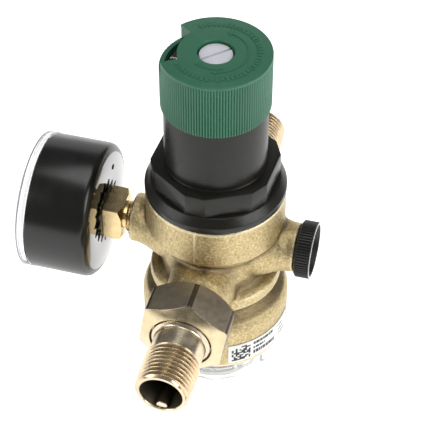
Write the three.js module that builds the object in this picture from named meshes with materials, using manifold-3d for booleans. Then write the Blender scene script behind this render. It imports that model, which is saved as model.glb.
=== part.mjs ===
// Diaphragm pressure reducing valve for 1/2 inch pipe, with a side pressure gauge.
// Millimetres, +Z up. The origin is the centre of the flat base of the clear sieve bowl.
// The pipe runs along Y with the inlet at -Y, the gauge points to -X, the blanking plug to +X.
import * as THREE from 'three';
import { mergeVertices } from 'three/addons/utils/BufferGeometryUtils.js';
import Module from 'manifold-3d';

// Driving dimensions. Heights are measured from the pipe axis unless they say otherwise.
const PIPE_HEIGHT = 60; // pipe axis above the base
const BASE = -PIPE_HEIGHT;
const GAP = 0.3; // clearance between neighbouring pieces
const LARGE_ROUND = 24; // sides of a large round
const ROUND = 16;
const SMALL_ROUND = 8;

const HOUSING_RADIUS = 29.1; // lower body
const HOUSING_UPPER_RADIUS = 26.9;
const HOUSING_BOTTOM = -38;
const HOUSING_TOP = 35;
const NECK_RADIUS = 20.5;
const UPPER_BORE = 23.6; // takes the bonnet spigot
const INSERT_LEDGE = 21.2;
const OUTLET_CHAMBER_RADIUS = 17.5;
const INSERT_BORE = 13.4;
const SIEVE_SKIRT_RADIUS = 16.6;
const SIEVE_SKIRT_BOTTOM = -13.2;
const LOWER_BORE = 23.7; // takes the bowl spigot

const PORT_THREAD_RADIUS = 13.2; // G 3/4 male
const PORT_END = 43.7;
const PIPE_BORE = 8;
const PASSAGE_RADIUS = 6; // between a pipe bore and its chamber
const SIDE_PORT_HEIGHT = 9.9;
const SIDE_PORT_FACE = 33;
const SIDE_BOSS_RADIUS = 9.8;
const SIDE_THREAD_RADIUS = 6.5; // G 1/4
const SIDE_THREAD_BORE = 6.8;
const SIDE_STUB_END = 25; // inner end of both threaded stubs

const NUT_FLATS = 32;
const NUT_BACK = 33.5;
const NUT_FACE = 50.5;
const NUT_BORE = 13.7;
const NUT_LIP_HOLE = 11.7;
const NUT_CORNER_ANGLE = 21;
const TAIL_FLANGE_RADIUS = 12.7;
const TAIL_COLLAR_RADIUS = 11.35;
const TAIL_NECK_RADIUS = 9.4;
const TAIL_THREAD_RADIUS = 10.48; // R 1/2 crest
const TAIL_THREAD_START = 60;
const TAIL_END = 76;
const TAIL_TAPER = 1 / 32; // taper of the radius, 1:16 on the diameter

const BONNET_FLANGE_RADIUS = 27;
const BONNET_HEX_BOTTOM = 41;
const BONNET_HEX_TOP = 50;
const BONNET_FLAT_DISTANCE = 22.75;
const BONNET_CORNER_RADIUS = 24.4;
const BONNET_CORNER_ANGLE = 266.5;
const BONNET_RADIUS = 19.3;
const BONNET_BORE = 16.2;
const BONNET_STEP = 76.4; // above this the knob covers it
const BONNET_TOP = 84;
const BONNET_CAP_UNDERSIDE = 80;
const KEYWAY_WIDTH = 4.6;
const KEYWAY_RADIUS = 17.6;

const KNOB_RADIUS = 20.25;
const KNOB_BOTTOM = 76.7;
const KNOB_TOP = 99.2;
const KNOB_BORE = 18.25;
const KNOB_HUB_RADIUS = 13.9;
const KNOB_ROOF_UNDERSIDE = 92.6;
const WINDOW_SILL = 93.2;
const WINDOW_INNER_RADIUS = 13.7;
const WINDOW_FROM = 144;
const WINDOW_TO = 212;
const SCREW_HEAD_RADIUS = 6.1;
const SCREW_HEAD_TOP = 98.2;
const SCREW_HEAD_BOTTOM = 95.7;
const SCREW_SHANK_RADIUS = 1.9;

const SPINDLE_RADIUS = 4;
const SPINDLE_SQUARE = 7; // across flats of the square end
const SPINDLE_SQUARE_TOP = 93;
const SPRING_PLATE_BOTTOM = 70;
const SPRING_PLATE_TOP = 73;
const SPRING_WIRE_RADIUS = 1.9;
const SPRING_MEAN_RADIUS = 12.2;
const SPRING_TURNS = 5;
const SPRING_END_PITCH = 4.2;

const PLATE_TOP = 37.7; // diaphragm plate
const DIAPHRAGM_TOP = 25.8;
const DIAPHRAGM_BOTTOM = 24.6;
const INSERT_FLANGE_TOP = 24.3;
const INSERT_FLANGE_BOTTOM = 21.5;
const INSERT_TUBE_RADIUS = 13;
const SEAT_HEIGHT = -8;
const STEM_RADIUS = 3;
const DISC_TOP = -10.8; // valve fully open
const DISC_RADIUS = 9.2;
const SIEVE_TOP = -13.5;
const SIEVE_BOTTOM = -55.3;
const SIEVE_MESH_RADIUS = 14;
const SIEVE_FRAME_RADIUS = 15.3;

const BOWL_SHOULDER = -38.4;
const BOWL_FLANGE_RADIUS = 25.5;
const BOWL_FLANGE_TOP = -44;
const BOWL_FLANGE_BOTTOM = -51;
const BOWL_CUP_RADIUS = 18;
const BOWL_BASE_RADIUS = 13;

const GAUGE_RADIUS = 27;
const GAUGE_BACK = 45;
const GAUGE_FRONT = 69.6;
const GAUGE_WALL = 1.2;
const GAUGE_WINDOW_FRONT = 73.5;
const GAUGE_WINDOW_RADIUS = 27.2;
const SOCKET_SQUARE = 15;
const SOCKET_FRONT = 44; // the socket's square ends just behind the case
const SOCKET_BACK = 36.5;
const DIAL_FRONT = 63.9;
const POINTER_BACK = 65;
const POINTER_FRONT = 66.1;
const POINTER_ZERO = 225;
const WHEEL_BACK = 56.6; // the sector's plate
const WHEEL_FRONT = 58.4;
const PINION_BACK = 55.8;
const PINION_FRONT = 59.4;
const LINK_BACK = 55.4;
const LINK_FRONT = 56.2;
const BOURDON_PLANE = 51;
const PINION_TEETH = 12;
const GEAR_MODULE = 0.5;
const PINION_PITCH_RADIUS = (PINION_TEETH * GEAR_MODULE) / 2;
const SECTOR_RATIO = 5;
const SECTOR_PITCH_RADIUS = PINION_PITCH_RADIUS * SECTOR_RATIO;
const SECTOR_PIVOT = -(PINION_PITCH_RADIUS + SECTOR_PITCH_RADIUS);
const SECTOR_REST_ANGLE = -24; // from straight up, anticlockwise positive
const TAIL_PIN_ARM = 5;
const TAIL_PIN_ANGLE = -27;
const BOURDON_RADIUS = 19.5;

const PLUG_HEAD_RADIUS = 11.2;
const PLUG_HEAD_END = 39.6;
const LABEL_TOP = -25.5;
const LABEL_BOTTOM = -35.7;

const wasm = await Module();
wasm.setup();

const radians = THREE.MathUtils.degToRad;

// A closed geometry as a manifold solid, with its faces turned outward.
function solid(source) {
  const geometry = source.clone();
  geometry.deleteAttribute('normal');
  geometry.deleteAttribute('uv');
  const merged = mergeVertices(geometry, 1e-4);
  const position = merged.attributes.position.array;
  const index = merged.index.array;
  const corner = [new THREE.Vector3(), new THREE.Vector3(), new THREE.Vector3()];
  const triangles = [];
  let volume = 0;
  for (let i = 0; i < index.length; i += 3) {
    const [a, b, c] = [index[i], index[i + 1], index[i + 2]];
    if (a === b || b === c || c === a) continue;
    corner.forEach((vertex, k) => vertex.fromArray(position, 3 * index[i + k]));
    volume += corner[0].dot(corner[1].clone().cross(corner[2]));
    triangles.push(a, b, c);
  }
  if (volume < 0) triangles.reverse();
  const triVerts = new Uint32Array(triangles);
  const vertProperties = new Float32Array(position);
  return new wasm.Manifold(new wasm.Mesh({ numProp: 3, vertProperties, triVerts }));
}

function named(name, body, material) {
  const { vertProperties, triVerts } = body.getMesh();
  const geometry = new THREE.BufferGeometry();
  geometry.setAttribute('position', new THREE.BufferAttribute(vertProperties, 3));
  geometry.setIndex(new THREE.BufferAttribute(triVerts, 1));
  geometry.computeVertexNormals();
  const mesh = new THREE.Mesh(geometry, material);
  mesh.name = name;
  return mesh;
}

// A solid turned about Z from an outline of [radius, height] corners.
// The outline closes on itself unless both its ends lie on the axis.
function turned(outline, sides = ROUND) {
  const points = outline.map(([radius, height]) => new THREE.Vector2(radius, height));
  const onAxis = points[0].x === 0 && points[points.length - 1].x === 0;
  if (!onAxis) points.push(points[0].clone());
  return solid(new THREE.LatheGeometry(points, sides).rotateX(Math.PI / 2));
}

function ring(inner, outer, from, to, sides = ROUND) {
  return turned([[inner, from], [outer, from], [outer, to], [inner, to]], sides);
}

function rod(radius, from, to, sides = ROUND) {
  return turned([[0, from], [radius, from], [radius, to], [0, to]], sides);
}

function prism(corners, from, to) {
  const shape = new THREE.Shape(corners.map(([x, y]) => new THREE.Vector2(x, y)));
  const geometry = new THREE.ExtrudeGeometry(shape, { depth: to - from, bevelEnabled: false });
  return solid(geometry.translate(0, 0, from));
}

function block(low, high) {
  const size = high.map((value, axis) => value - low[axis]);
  const centre = high.map((value, axis) => (value + low[axis]) / 2);
  return solid(new THREE.BoxGeometry(...size).translate(...centre));
}

function polar(radius, degrees) {
  return [radius * Math.cos(radians(degrees)), radius * Math.sin(radians(degrees))];
}

function polygon(sides, cornerRadius, firstAngle = 0) {
  return Array.from({ length: sides }, (_, i) => polar(cornerRadius, firstAngle + (360 * i) / sides));
}

// A hexagon with its corners cut off, given by its flats' distance and its corners' radius.
function truncatedHexagon(flatDistance, cornerRadius, cutAngle) {
  const half = 30 - THREE.MathUtils.radToDeg(Math.acos(flatDistance / cornerRadius));
  const corners = [];
  for (let i = 0; i < 6; i += 1) {
    corners.push(polar(cornerRadius, cutAngle + 60 * i - half));
    corners.push(polar(cornerRadius, cutAngle + 60 * i + half));
  }
  return corners;
}

// An annular wedge between two angles.
function wedge(inner, outer, fromAngle, toAngle, from, to, steps = 10) {
  const step = (toAngle - fromAngle) / steps;
  const angles = Array.from({ length: steps + 1 }, (_, i) => fromAngle + step * i);
  const outside = angles.map((angle) => polar(outer, angle));
  const inside = angles.map((angle) => polar(inner, angle)).reverse();
  return prism([...outside, ...inside], from, to);
}

// Stands a Z axis solid on the given direction. Its own Y axis stays up.
function facing(outward) {
  const up = new THREE.Vector3(0, 0, 1);
  const side = up.clone().cross(outward);
  return new THREE.Matrix4().makeBasis(side, up, outward);
}

function turnedAlong(outward, outline, height = 0, sides = ROUND) {
  const matrix = facing(outward).setPosition(0, 0, height);
  return turned(outline, sides).transform(matrix.elements);
}

const FRONT = new THREE.Vector3(0, -1, 0);
const REAR = new THREE.Vector3(0, 1, 0);
const LEFT = new THREE.Vector3(-1, 0, 0);
const RIGHT = new THREE.Vector3(1, 0, 0);

function finish(color, roughness, metalness = 0) {
  return new THREE.MeshStandardMaterial({ color, roughness, metalness });
}

const materials = {
  castBrass: finish(0xbda878, 0.5, 1),
  turnedBrass: finish(0xd9b26e, 0.3, 1),
  rawBrass: finish(0x6e675d, 0.5, 0.8),
  greyPlastic: finish(0x4b4946, 0.45),
  greenPlastic: finish(0x3f7a5c, 0.4),
  blackPlastic: finish(0x232321, 0.3),
  blackEnamel: finish(0x161616, 0.12),
  clearPlastic: finish(0xdfe6e6, 0.08),
  steel: finish(0xb9bab8, 0.3, 1),
  springSteel: finish(0x8a8d90, 0.35, 1),
  rubber: finish(0x1b1b1b, 0.8),
  fibre: finish(0x8f3f2e, 0.8),
  white: finish(0xf4f3ee, 0.5),
};

function sidePortCut(outward) {
  const outline = [
    [0, 10], [4, 10], [4, 24], [SIDE_THREAD_BORE, 24], [SIDE_THREAD_BORE, 31.3],
    [8.5, 31.3], [8.5, 34], [0, 34],
  ];
  return turnedAlong(outward, outline, SIDE_PORT_HEIGHT);
}

function sideBoss(outward) {
  const outline = [
    [0, 12], [15.5, 12], [15, 20], [12.2, 25.5], [SIDE_BOSS_RADIUS, 29],
    [SIDE_BOSS_RADIUS, SIDE_PORT_FACE], [0, SIDE_PORT_FACE],
  ];
  return turnedAlong(outward, outline, SIDE_PORT_HEIGHT);
}

function pipePort(outward) {
  const outline = [
    [0, 10], [19, 10], [18, 22], [14.5, 28.5], [11.6, 31], [11.6, 34],
    [PORT_THREAD_RADIUS, 35.5], [PORT_THREAD_RADIUS, PORT_END - 1],
    [PORT_THREAD_RADIUS - 1, PORT_END], [0, PORT_END],
  ];
  return turnedAlong(outward, outline);
}

// A sloping passage from a pipe bore into one of the two chambers.
function passage(outward, rise) {
  const from = outward.clone().multiplyScalar(30);
  const to = outward.clone().multiplyScalar(15).setZ(rise);
  const along = to.clone().sub(from);
  const geometry = new THREE.CylinderGeometry(PASSAGE_RADIUS, PASSAGE_RADIUS, along.length(), SMALL_ROUND);
  const cylinderAxis = new THREE.Vector3(0, 1, 0);
  geometry.applyQuaternion(new THREE.Quaternion().setFromUnitVectors(cylinderAxis, along.normalize()));
  const middle = from.add(to).multiplyScalar(0.5);
  return solid(geometry.translate(middle.x, middle.y, middle.z));
}

function housing() {
  const outside = turned([
    [0, HOUSING_BOTTOM], [HOUSING_RADIUS - 0.6, HOUSING_BOTTOM], [HOUSING_RADIUS, HOUSING_BOTTOM + 0.8],
    [HOUSING_RADIUS, -20], [28.1, -16.5], [24.8, -12], [22, -6], [NECK_RADIUS, 2], [NECK_RADIUS, 9],
    [22.2, 14], [25.6, 17.3], [HOUSING_UPPER_RADIUS, 20], [HOUSING_UPPER_RADIUS, HOUSING_TOP],
    [0, HOUSING_TOP],
  ], LARGE_ROUND);
  const upperCut = turned([
    [0, 2], [OUTLET_CHAMBER_RADIUS - 1, 2], [OUTLET_CHAMBER_RADIUS, 3.5],
    [OUTLET_CHAMBER_RADIUS, INSERT_LEDGE], [UPPER_BORE, INSERT_LEDGE],
    [UPPER_BORE, HOUSING_TOP + 1], [0, HOUSING_TOP + 1],
  ], LARGE_ROUND);
  const lowerCut = turned([
    [SIEVE_SKIRT_RADIUS, -7.5], [18.2, -7.5], [21.5, -18], [21.5, -27], [LOWER_BORE, -27],
    [LOWER_BORE, HOUSING_BOTTOM - 1], [0, HOUSING_BOTTOM - 1], [0, SIEVE_SKIRT_BOTTOM],
    [SIEVE_SKIRT_RADIUS, SIEVE_SKIRT_BOTTOM],
  ], LARGE_ROUND);
  const insertCut = rod(INSERT_BORE, SIEVE_SKIRT_BOTTOM - 1, 3, ROUND);
  const outletBore = [[0, 24], [PIPE_BORE, 24], [PIPE_BORE, PORT_END + 1], [0, PORT_END + 1]];
  let body = outside;
  for (const side of [LEFT, RIGHT]) body = body.add(sideBoss(side));
  for (const end of [FRONT, REAR]) body = body.add(pipePort(end));
  for (const side of [LEFT, RIGHT]) body = body.subtract(sidePortCut(side));
  for (const end of [FRONT, REAR]) body = body.subtract(turnedAlong(end, outletBore));
  return body
    .subtract(upperCut)
    .subtract(lowerCut)
    .subtract(insertCut)
    .subtract(passage(FRONT, -13))
    .subtract(passage(REAR, 12));
}

function bonnet() {
  const hexCorners = truncatedHexagon(BONNET_FLAT_DISTANCE, BONNET_CORNER_RADIUS, BONNET_CORNER_ANGLE);
  const hexagon = prism(hexCorners, BONNET_HEX_BOTTOM - 0.5, BONNET_HEX_TOP);
  const shell = turned([
    [0, 27.3], [23.2, 27.3], [23.2, HOUSING_TOP + GAP], [BONNET_FLANGE_RADIUS, HOUSING_TOP + GAP],
    [BONNET_FLANGE_RADIUS, 38], [BONNET_CORNER_RADIUS, BONNET_HEX_BOTTOM],
    [BONNET_RADIUS, BONNET_HEX_BOTTOM], [BONNET_RADIUS, BONNET_STEP], [17.8, BONNET_STEP],
    [17.8, BONNET_TOP], [0, BONNET_TOP],
  ], LARGE_ROUND);
  const bore = rod(BONNET_BORE, 26, BONNET_CAP_UNDERSIDE, LARGE_ROUND);
  const spindleHole = rod(SPINDLE_RADIUS + GAP, BONNET_CAP_UNDERSIDE - 1, BONNET_TOP + 1);
  const half = KEYWAY_WIDTH / 2;
  const keyways = block([-KEYWAY_RADIUS, -half, 30], [KEYWAY_RADIUS, half, BONNET_STEP - 0.2]);
  return shell.add(hexagon).subtract(bore).subtract(spindleHole).subtract(keyways);
}

function knob() {
  const outside = turned([
    [0, KNOB_BOTTOM], [KNOB_RADIUS, KNOB_BOTTOM], [KNOB_RADIUS, KNOB_TOP - 0.8],
    [KNOB_RADIUS - 0.8, KNOB_TOP], [0, KNOB_TOP],
  ], LARGE_ROUND);
  const cavity = turned([
    [0, KNOB_BOTTOM - 1], [KNOB_BORE, KNOB_BOTTOM - 1], [KNOB_BORE, KNOB_ROOF_UNDERSIDE],
    [KNOB_HUB_RADIUS, KNOB_ROOF_UNDERSIDE], [KNOB_HUB_RADIUS, BONNET_TOP + 0.6], [0, BONNET_TOP + 0.6],
  ], LARGE_ROUND);
  const half = SPINDLE_SQUARE / 2 + GAP;
  const squareHole = block([-half, -half, BONNET_TOP], [half, half, SPINDLE_SQUARE_TOP + GAP]);
  const screwHole = turned([
    [0, SPINDLE_SQUARE_TOP], [SCREW_SHANK_RADIUS + GAP, SPINDLE_SQUARE_TOP],
    [SCREW_SHANK_RADIUS + GAP, SCREW_HEAD_BOTTOM - GAP], [SCREW_HEAD_RADIUS + 0.5, SCREW_HEAD_BOTTOM - GAP],
    [SCREW_HEAD_RADIUS + 0.5, KNOB_TOP + 1], [0, KNOB_TOP + 1],
  ]);
  const windowCut = (outer, from, to) => wedge(WINDOW_INNER_RADIUS, outer, WINDOW_FROM, WINDOW_TO, from, to);
  return outside
    .subtract(cavity)
    .subtract(squareHole)
    .subtract(screwHole)
    .subtract(windowCut(KNOB_RADIUS + 1, WINDOW_SILL, KNOB_TOP + 1))
    .subtract(windowCut(KNOB_BORE, KNOB_ROOF_UNDERSIDE - 1, WINDOW_SILL + 1));
}

function lockScrew() {
  const body = turned([
    [0, 86.5], [SCREW_SHANK_RADIUS, 86.5], [SCREW_SHANK_RADIUS, SCREW_HEAD_BOTTOM],
    [SCREW_HEAD_RADIUS, SCREW_HEAD_BOTTOM], [SCREW_HEAD_RADIUS, SCREW_HEAD_TOP - 0.4],
    [SCREW_HEAD_RADIUS - 0.4, SCREW_HEAD_TOP], [0, SCREW_HEAD_TOP],
  ]);
  const slot = block([-7, -0.5, SCREW_HEAD_TOP - 1], [7, 0.5, SCREW_HEAD_TOP + 1]).rotate([0, 0, 44]);
  return body.subtract(slot);
}

function adjustingSpindle() {
  const round = turned([
    [0, 50], [SPINDLE_RADIUS, 50], [SPINDLE_RADIUS, 77.5], [7, 77.5], [7, 79.7],
    [SPINDLE_RADIUS, 79.7], [SPINDLE_RADIUS, BONNET_TOP + 0.5], [0, BONNET_TOP + 0.5],
  ]);
  const half = SPINDLE_SQUARE / 2;
  const square = block([-half, -half, BONNET_TOP + 0.4], [half, half, SPINDLE_SQUARE_TOP]);
  const screwHole = rod(SCREW_SHANK_RADIUS + GAP, 85.5, SPINDLE_SQUARE_TOP + 1, SMALL_ROUND);
  return round.add(square).subtract(screwHole);
}

function settingScale() {
  return turned([
    [14.3, BONNET_TOP + GAP], [17.7, BONNET_TOP + GAP], [17.7, 90.6], [16.3, 92.1], [14.3, 92.1],
  ], LARGE_ROUND);
}

function springPlate() {
  const disc = ring(SPINDLE_RADIUS + GAP, 15.6, SPRING_PLATE_BOTTOM, SPRING_PLATE_TOP);
  const collar = ring(SPINDLE_RADIUS + GAP, 8.4, 64, SPRING_PLATE_BOTTOM + 0.5);
  const half = KEYWAY_WIDTH / 2 - 0.4;
  const lugs = block([-17.2, -half, SPRING_PLATE_BOTTOM], [17.2, half, SPRING_PLATE_BOTTOM + 2]);
  const clear = rod(SPINDLE_RADIUS + GAP, 60, 80);
  return disc.add(collar).add(lugs).subtract(clear);
}

// The spring's end turns are wound close and its middle turns share the rest of the height.
class SpringLine extends THREE.Curve {
  getPoint(t, target = new THREE.Vector3()) {
    const bottom = PLATE_TOP + GAP + SPRING_WIRE_RADIUS;
    const top = SPRING_PLATE_BOTTOM - GAP - SPRING_WIRE_RADIUS;
    const middlePitch = (top - bottom - 2 * SPRING_END_PITCH) / (SPRING_TURNS - 2);
    const turns = t * SPRING_TURNS;
    const middleTurns = THREE.MathUtils.clamp(turns - 1, 0, SPRING_TURNS - 2);
    const height = bottom + SPRING_END_PITCH * (turns - middleTurns) + middlePitch * middleTurns;
    const [x, y] = polar(SPRING_MEAN_RADIUS, 360 * turns);
    return target.set(x, y, height);
  }
}

function adjustmentSpring() {
  const section = new THREE.Shape(polygon(6, SPRING_WIRE_RADIUS).map(([x, y]) => new THREE.Vector2(x, y)));
  const settings = { steps: SPRING_TURNS * 12, extrudePath: new SpringLine(), bevelEnabled: false };
  return solid(new THREE.ExtrudeGeometry(section, settings));
}

function diaphragmPlate() {
  const bore = STEM_RADIUS + GAP;
  return turned([
    [bore, DIAPHRAGM_TOP + GAP], [14.6, DIAPHRAGM_TOP + GAP], [15.3, 28], [15.3, PLATE_TOP],
    [7.6, PLATE_TOP], [7.6, 31], [bore, 31],
  ], LARGE_ROUND);
}

function diaphragm() {
  return ring(STEM_RADIUS + GAP, 22.6, DIAPHRAGM_BOTTOM, DIAPHRAGM_TOP, LARGE_ROUND);
}

function slipRing() {
  return ring(16.6, 22.8, DIAPHRAGM_TOP + GAP, 27, LARGE_ROUND);
}

function valveInsert() {
  const shell = turned([
    [STEM_RADIUS + GAP, INSERT_FLANGE_TOP], [22.9, INSERT_FLANGE_TOP], [22.9, INSERT_FLANGE_BOTTOM],
    [INSERT_TUBE_RADIUS, INSERT_FLANGE_BOTTOM], [INSERT_TUBE_RADIUS, -1.2], [11.9, -1.2], [11.9, -4.2],
    [INSERT_TUBE_RADIUS, -4.2], [INSERT_TUBE_RADIUS, SEAT_HEIGHT + 1], [8.2, SEAT_HEIGHT + 1],
    [7.6, SEAT_HEIGHT], [6.8, SEAT_HEIGHT], [6.8, -5], [10.6, -2], [10.6, 18], [STEM_RADIUS + GAP, 18],
  ]);
  const window = block([-30, -5, 5], [30, 5, 17]);
  let body = shell.subtract(window).subtract(window.rotate([0, 0, 90]));
  for (let i = 0; i < 4; i += 1) {
    const [x, y] = polar(15.6, 45 + 90 * i);
    const hole = rod(1.2, INSERT_FLANGE_BOTTOM - 1, INSERT_FLANGE_TOP + 1, SMALL_ROUND);
    body = body.subtract(hole.translate([x, y, 0]));
  }
  return body;
}

function oRing(innerRadius, thickness, middle, sides = ROUND) {
  const radius = innerRadius + thickness / 2;
  const outline = polygon(6, thickness / 2, 30).map(([r, h]) => [radius + r, middle + h]);
  return turned(outline, sides);
}

function valveStem() {
  return turned([
    [0, -20], [5.2, -20], [5.2, -16.7], [STEM_RADIUS, -16.7], [STEM_RADIUS, 38.4], [2.6, 38.8],
    [0, 38.8],
  ], SMALL_ROUND);
}

function valveDisc() {
  const bore = STEM_RADIUS + GAP;
  return turned([[bore, -16.4], [8, -16.4], [DISC_RADIUS, -15.4], [DISC_RADIUS, -12.8], [bore, -12.8]]);
}

function discSeal() {
  return ring(STEM_RADIUS + GAP, 8.8, -12.5, DISC_TOP);
}

function stemNut() {
  const hexagon = prism(polygon(6, 6.5 / Math.cos(radians(30)) - 0.6), 31.3, 36.5);
  return hexagon.subtract(rod(STEM_RADIUS + GAP, 30, 38, SMALL_ROUND));
}

function sieveFrame() {
  const inner = 12.6;
  const top = ring(inner, 16.2, SIEVE_TOP - 1.5, SIEVE_TOP);
  const bottom = rod(SIEVE_FRAME_RADIUS, SIEVE_BOTTOM, SIEVE_BOTTOM + 1.6);
  let frame = top.add(bottom);
  for (let i = 0; i < 4; i += 1) {
    const rib = block([14.4, -0.9, SIEVE_BOTTOM], [SIEVE_FRAME_RADIUS, 0.9, SIEVE_TOP]);
    frame = frame.add(rib.rotate([0, 0, 45 + 90 * i]));
  }
  return frame;
}

function sieveMesh() {
  return ring(13.2, SIEVE_MESH_RADIUS, SIEVE_BOTTOM + 1.9, SIEVE_TOP - 1.8);
}

function sieveBowl() {
  const outside = turned([
    [0, BASE], [BOWL_BASE_RADIUS, BASE], [BOWL_CUP_RADIUS - 2.4, BASE + 1], [BOWL_CUP_RADIUS, BASE + 3.4],
    [BOWL_CUP_RADIUS + 0.4, BOWL_FLANGE_BOTTOM], [22, BOWL_FLANGE_BOTTOM], [22, BOWL_FLANGE_TOP],
    [24.6, BOWL_FLANGE_TOP], [25.8, BOWL_SHOULDER], [23.3, BOWL_SHOULDER], [23.3, -31.7], [21.9, -31.7],
    [21.9, -29.3], [23.3, -29.3], [23.3, -27.3], [0, -27.3],
  ], LARGE_ROUND);
  const flange = prism(polygon(12, BOWL_FLANGE_RADIUS, 14), BOWL_FLANGE_BOTTOM, BOWL_FLANGE_TOP + 0.5);
  const inside = turned([
    [0, -57], [14.6, -57], [15.9, -55.6], [16, -47], [19.6, -44.5], [20.1, -26], [0, -26],
  ], LARGE_ROUND);
  return outside.add(flange).subtract(inside);
}

function unionNut() {
  const corner = NUT_FLATS / 2 / Math.cos(radians(30));
  const hexagon = prism(polygon(6, corner, NUT_CORNER_ANGLE), NUT_BACK, NUT_FACE);
  const rounding = turned([
    [0, NUT_BACK], [15.6, NUT_BACK], [corner + 0.1, NUT_BACK + 2.8], [corner + 0.1, NUT_FACE - 1.7],
    [15.8, NUT_FACE], [0, NUT_FACE],
  ], LARGE_ROUND);
  const bore = turned([
    [0, NUT_BACK - 1], [NUT_BORE, NUT_BACK - 1], [NUT_BORE, 48.6], [NUT_LIP_HOLE, 48.6],
    [NUT_LIP_HOLE, NUT_FACE + 1], [0, NUT_FACE + 1],
  ]);
  return hexagon.intersect(rounding).subtract(bore);
}

function unionTail() {
  const crest = (along) => TAIL_THREAD_RADIUS + (TAIL_END - 8.2 - along) * TAIL_TAPER;
  const body = turned([
    [PIPE_BORE, 45.9], [TAIL_FLANGE_RADIUS, 45.9], [TAIL_FLANGE_RADIUS, 48.3], [TAIL_COLLAR_RADIUS, 48.3],
    [TAIL_COLLAR_RADIUS, NUT_FACE], [TAIL_NECK_RADIUS, 52], [TAIL_NECK_RADIUS, TAIL_THREAD_START],
    [crest(TAIL_THREAD_START + 0.8), TAIL_THREAD_START + 0.8], [crest(TAIL_END - 0.9), TAIL_END - 0.9],
    [TAIL_NECK_RADIUS, TAIL_END], [PIPE_BORE, TAIL_END],
  ]);
  const lug = turned([[0, 66], [2.2, 66], [2.2, TAIL_END - 0.7], [0, TAIL_END - 0.7]], SMALL_ROUND)
    .translate([0, -7.2, 0]);
  const bounds = rod(PIPE_BORE + 0.4, 60, TAIL_END);
  return body.add(lug.intersect(bounds));
}

function unionGasket() {
  return ring(8.3, 12.6, 44, 45.6);
}

function gaugeCase() {
  const inner = GAUGE_RADIUS - GAUGE_WALL;
  return turned([
    [6.1, GAUGE_BACK], [23.5, GAUGE_BACK], [26, GAUGE_BACK + 1], [GAUGE_RADIUS, GAUGE_BACK + 3.5],
    [GAUGE_RADIUS, GAUGE_FRONT], [inner, GAUGE_FRONT], [inner, GAUGE_BACK + 3.8],
    [23.3, GAUGE_BACK + GAUGE_WALL], [6.1, GAUGE_BACK + GAUGE_WALL],
  ], LARGE_ROUND);
}

function gaugeWindow() {
  return turned([
    [0, 71.9], [24.3, 71.9], [24.3, 67.5], [25.4, 67.5], [25.4, GAUGE_FRONT + GAP],
    [GAUGE_WINDOW_RADIUS, GAUGE_FRONT + GAP], [GAUGE_WINDOW_RADIUS, 72.8],
    [GAUGE_WINDOW_RADIUS - 0.7, GAUGE_WINDOW_FRONT], [0, GAUGE_WINDOW_FRONT],
  ], LARGE_ROUND);
}

function gaugeDial() {
  return ring(1.8, 24.8, DIAL_FRONT - 0.7, DIAL_FRONT, LARGE_ROUND);
}

// The needle points to zero, at the lower left of the dial.
function gaugePointer() {
  const outline = [[-7, -1.3], [-7, 1.3], [0, 1.1], [17.5, 0.55], [19.5, 0], [17.5, -0.55], [0, -1.1]];
  const needle = prism(outline, POINTER_BACK + 0.2, POINTER_FRONT - 0.2);
  const hub = rod(2.6, POINTER_BACK, POINTER_FRONT, SMALL_ROUND);
  const hole = rod(1.1, POINTER_BACK - 1, POINTER_FRONT + 1, SMALL_ROUND);
  return needle.add(hub).rotate([0, 0, POINTER_ZERO]).subtract(hole);
}

// One gear tooth about a wheel centre, pointing along the given angle.
function tooth(root, tip, angle, from, to) {
  const rootHalf = 0.34;
  const tipHalf = 0.14;
  const corners = [[root, -rootHalf], [tip, -tipHalf], [tip, tipHalf], [root, rootHalf]];
  return prism(corners, from, to).rotate([0, 0, angle]);
}

function gaugePinionShaft() {
  const root = PINION_PITCH_RADIUS - 0.7;
  const wheel = rod(root, PINION_BACK, PINION_FRONT, PINION_TEETH);
  let body = rod(0.8, 53.8, POINTER_FRONT + 0.3, SMALL_ROUND).add(wheel);
  for (let i = 0; i < PINION_TEETH; i += 1) {
    const angle = ((i + 0.5) * 360) / PINION_TEETH;
    body = body.add(tooth(root - 0.2, PINION_PITCH_RADIUS + 0.35, angle, PINION_BACK, PINION_FRONT));
  }
  return body;
}

// Built about its own pivot, with its mid-line along +Y, then turned to rest.
function gaugeSector() {
  const rim = SECTOR_PITCH_RADIUS - 0.7;
  const step = 360 / (PINION_TEETH * SECTOR_RATIO);
  let body = wedge(rim - 2.2, rim, 90 - 33, 90 + 39, WHEEL_BACK, WHEEL_FRONT);
  for (let angle = -5 * step; angle <= 6 * step; angle += step) {
    body = body.add(tooth(rim - 0.2, SECTOR_PITCH_RADIUS + 0.35, 90 + angle, WHEEL_BACK, WHEEL_FRONT));
  }
  for (const angle of [-28, 3, 34]) {
    body = body.add(block([0, -0.8, WHEEL_BACK], [rim - 1, 0.8, WHEEL_FRONT]).rotate([0, 0, 90 + angle]));
  }
  body = body.add(rod(2.2, WHEEL_BACK, WHEEL_FRONT, SMALL_ROUND)).add(rod(0.9, 53.8, 61.6, 8));
  body = body.rotate([0, 0, SECTOR_REST_ANGLE]);
  const arm = block([0, -0.9, WHEEL_BACK], [TAIL_PIN_ARM + 1, 0.9, WHEEL_FRONT]);
  const pin = rod(0.6, 55.5, 57, 8).translate([TAIL_PIN_ARM, 0, 0]);
  return body.add(arm.add(pin).rotate([0, 0, TAIL_PIN_ANGLE])).translate([0, SECTOR_PIVOT, 0]);
}

function tailPin() {
  const [x, y] = polar(TAIL_PIN_ARM, TAIL_PIN_ANGLE);
  return new THREE.Vector2(x, y + SECTOR_PIVOT);
}

function bourdonTip() {
  const [x, y] = polar(BOURDON_RADIUS, -35);
  return new THREE.Vector2(x, y);
}

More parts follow.
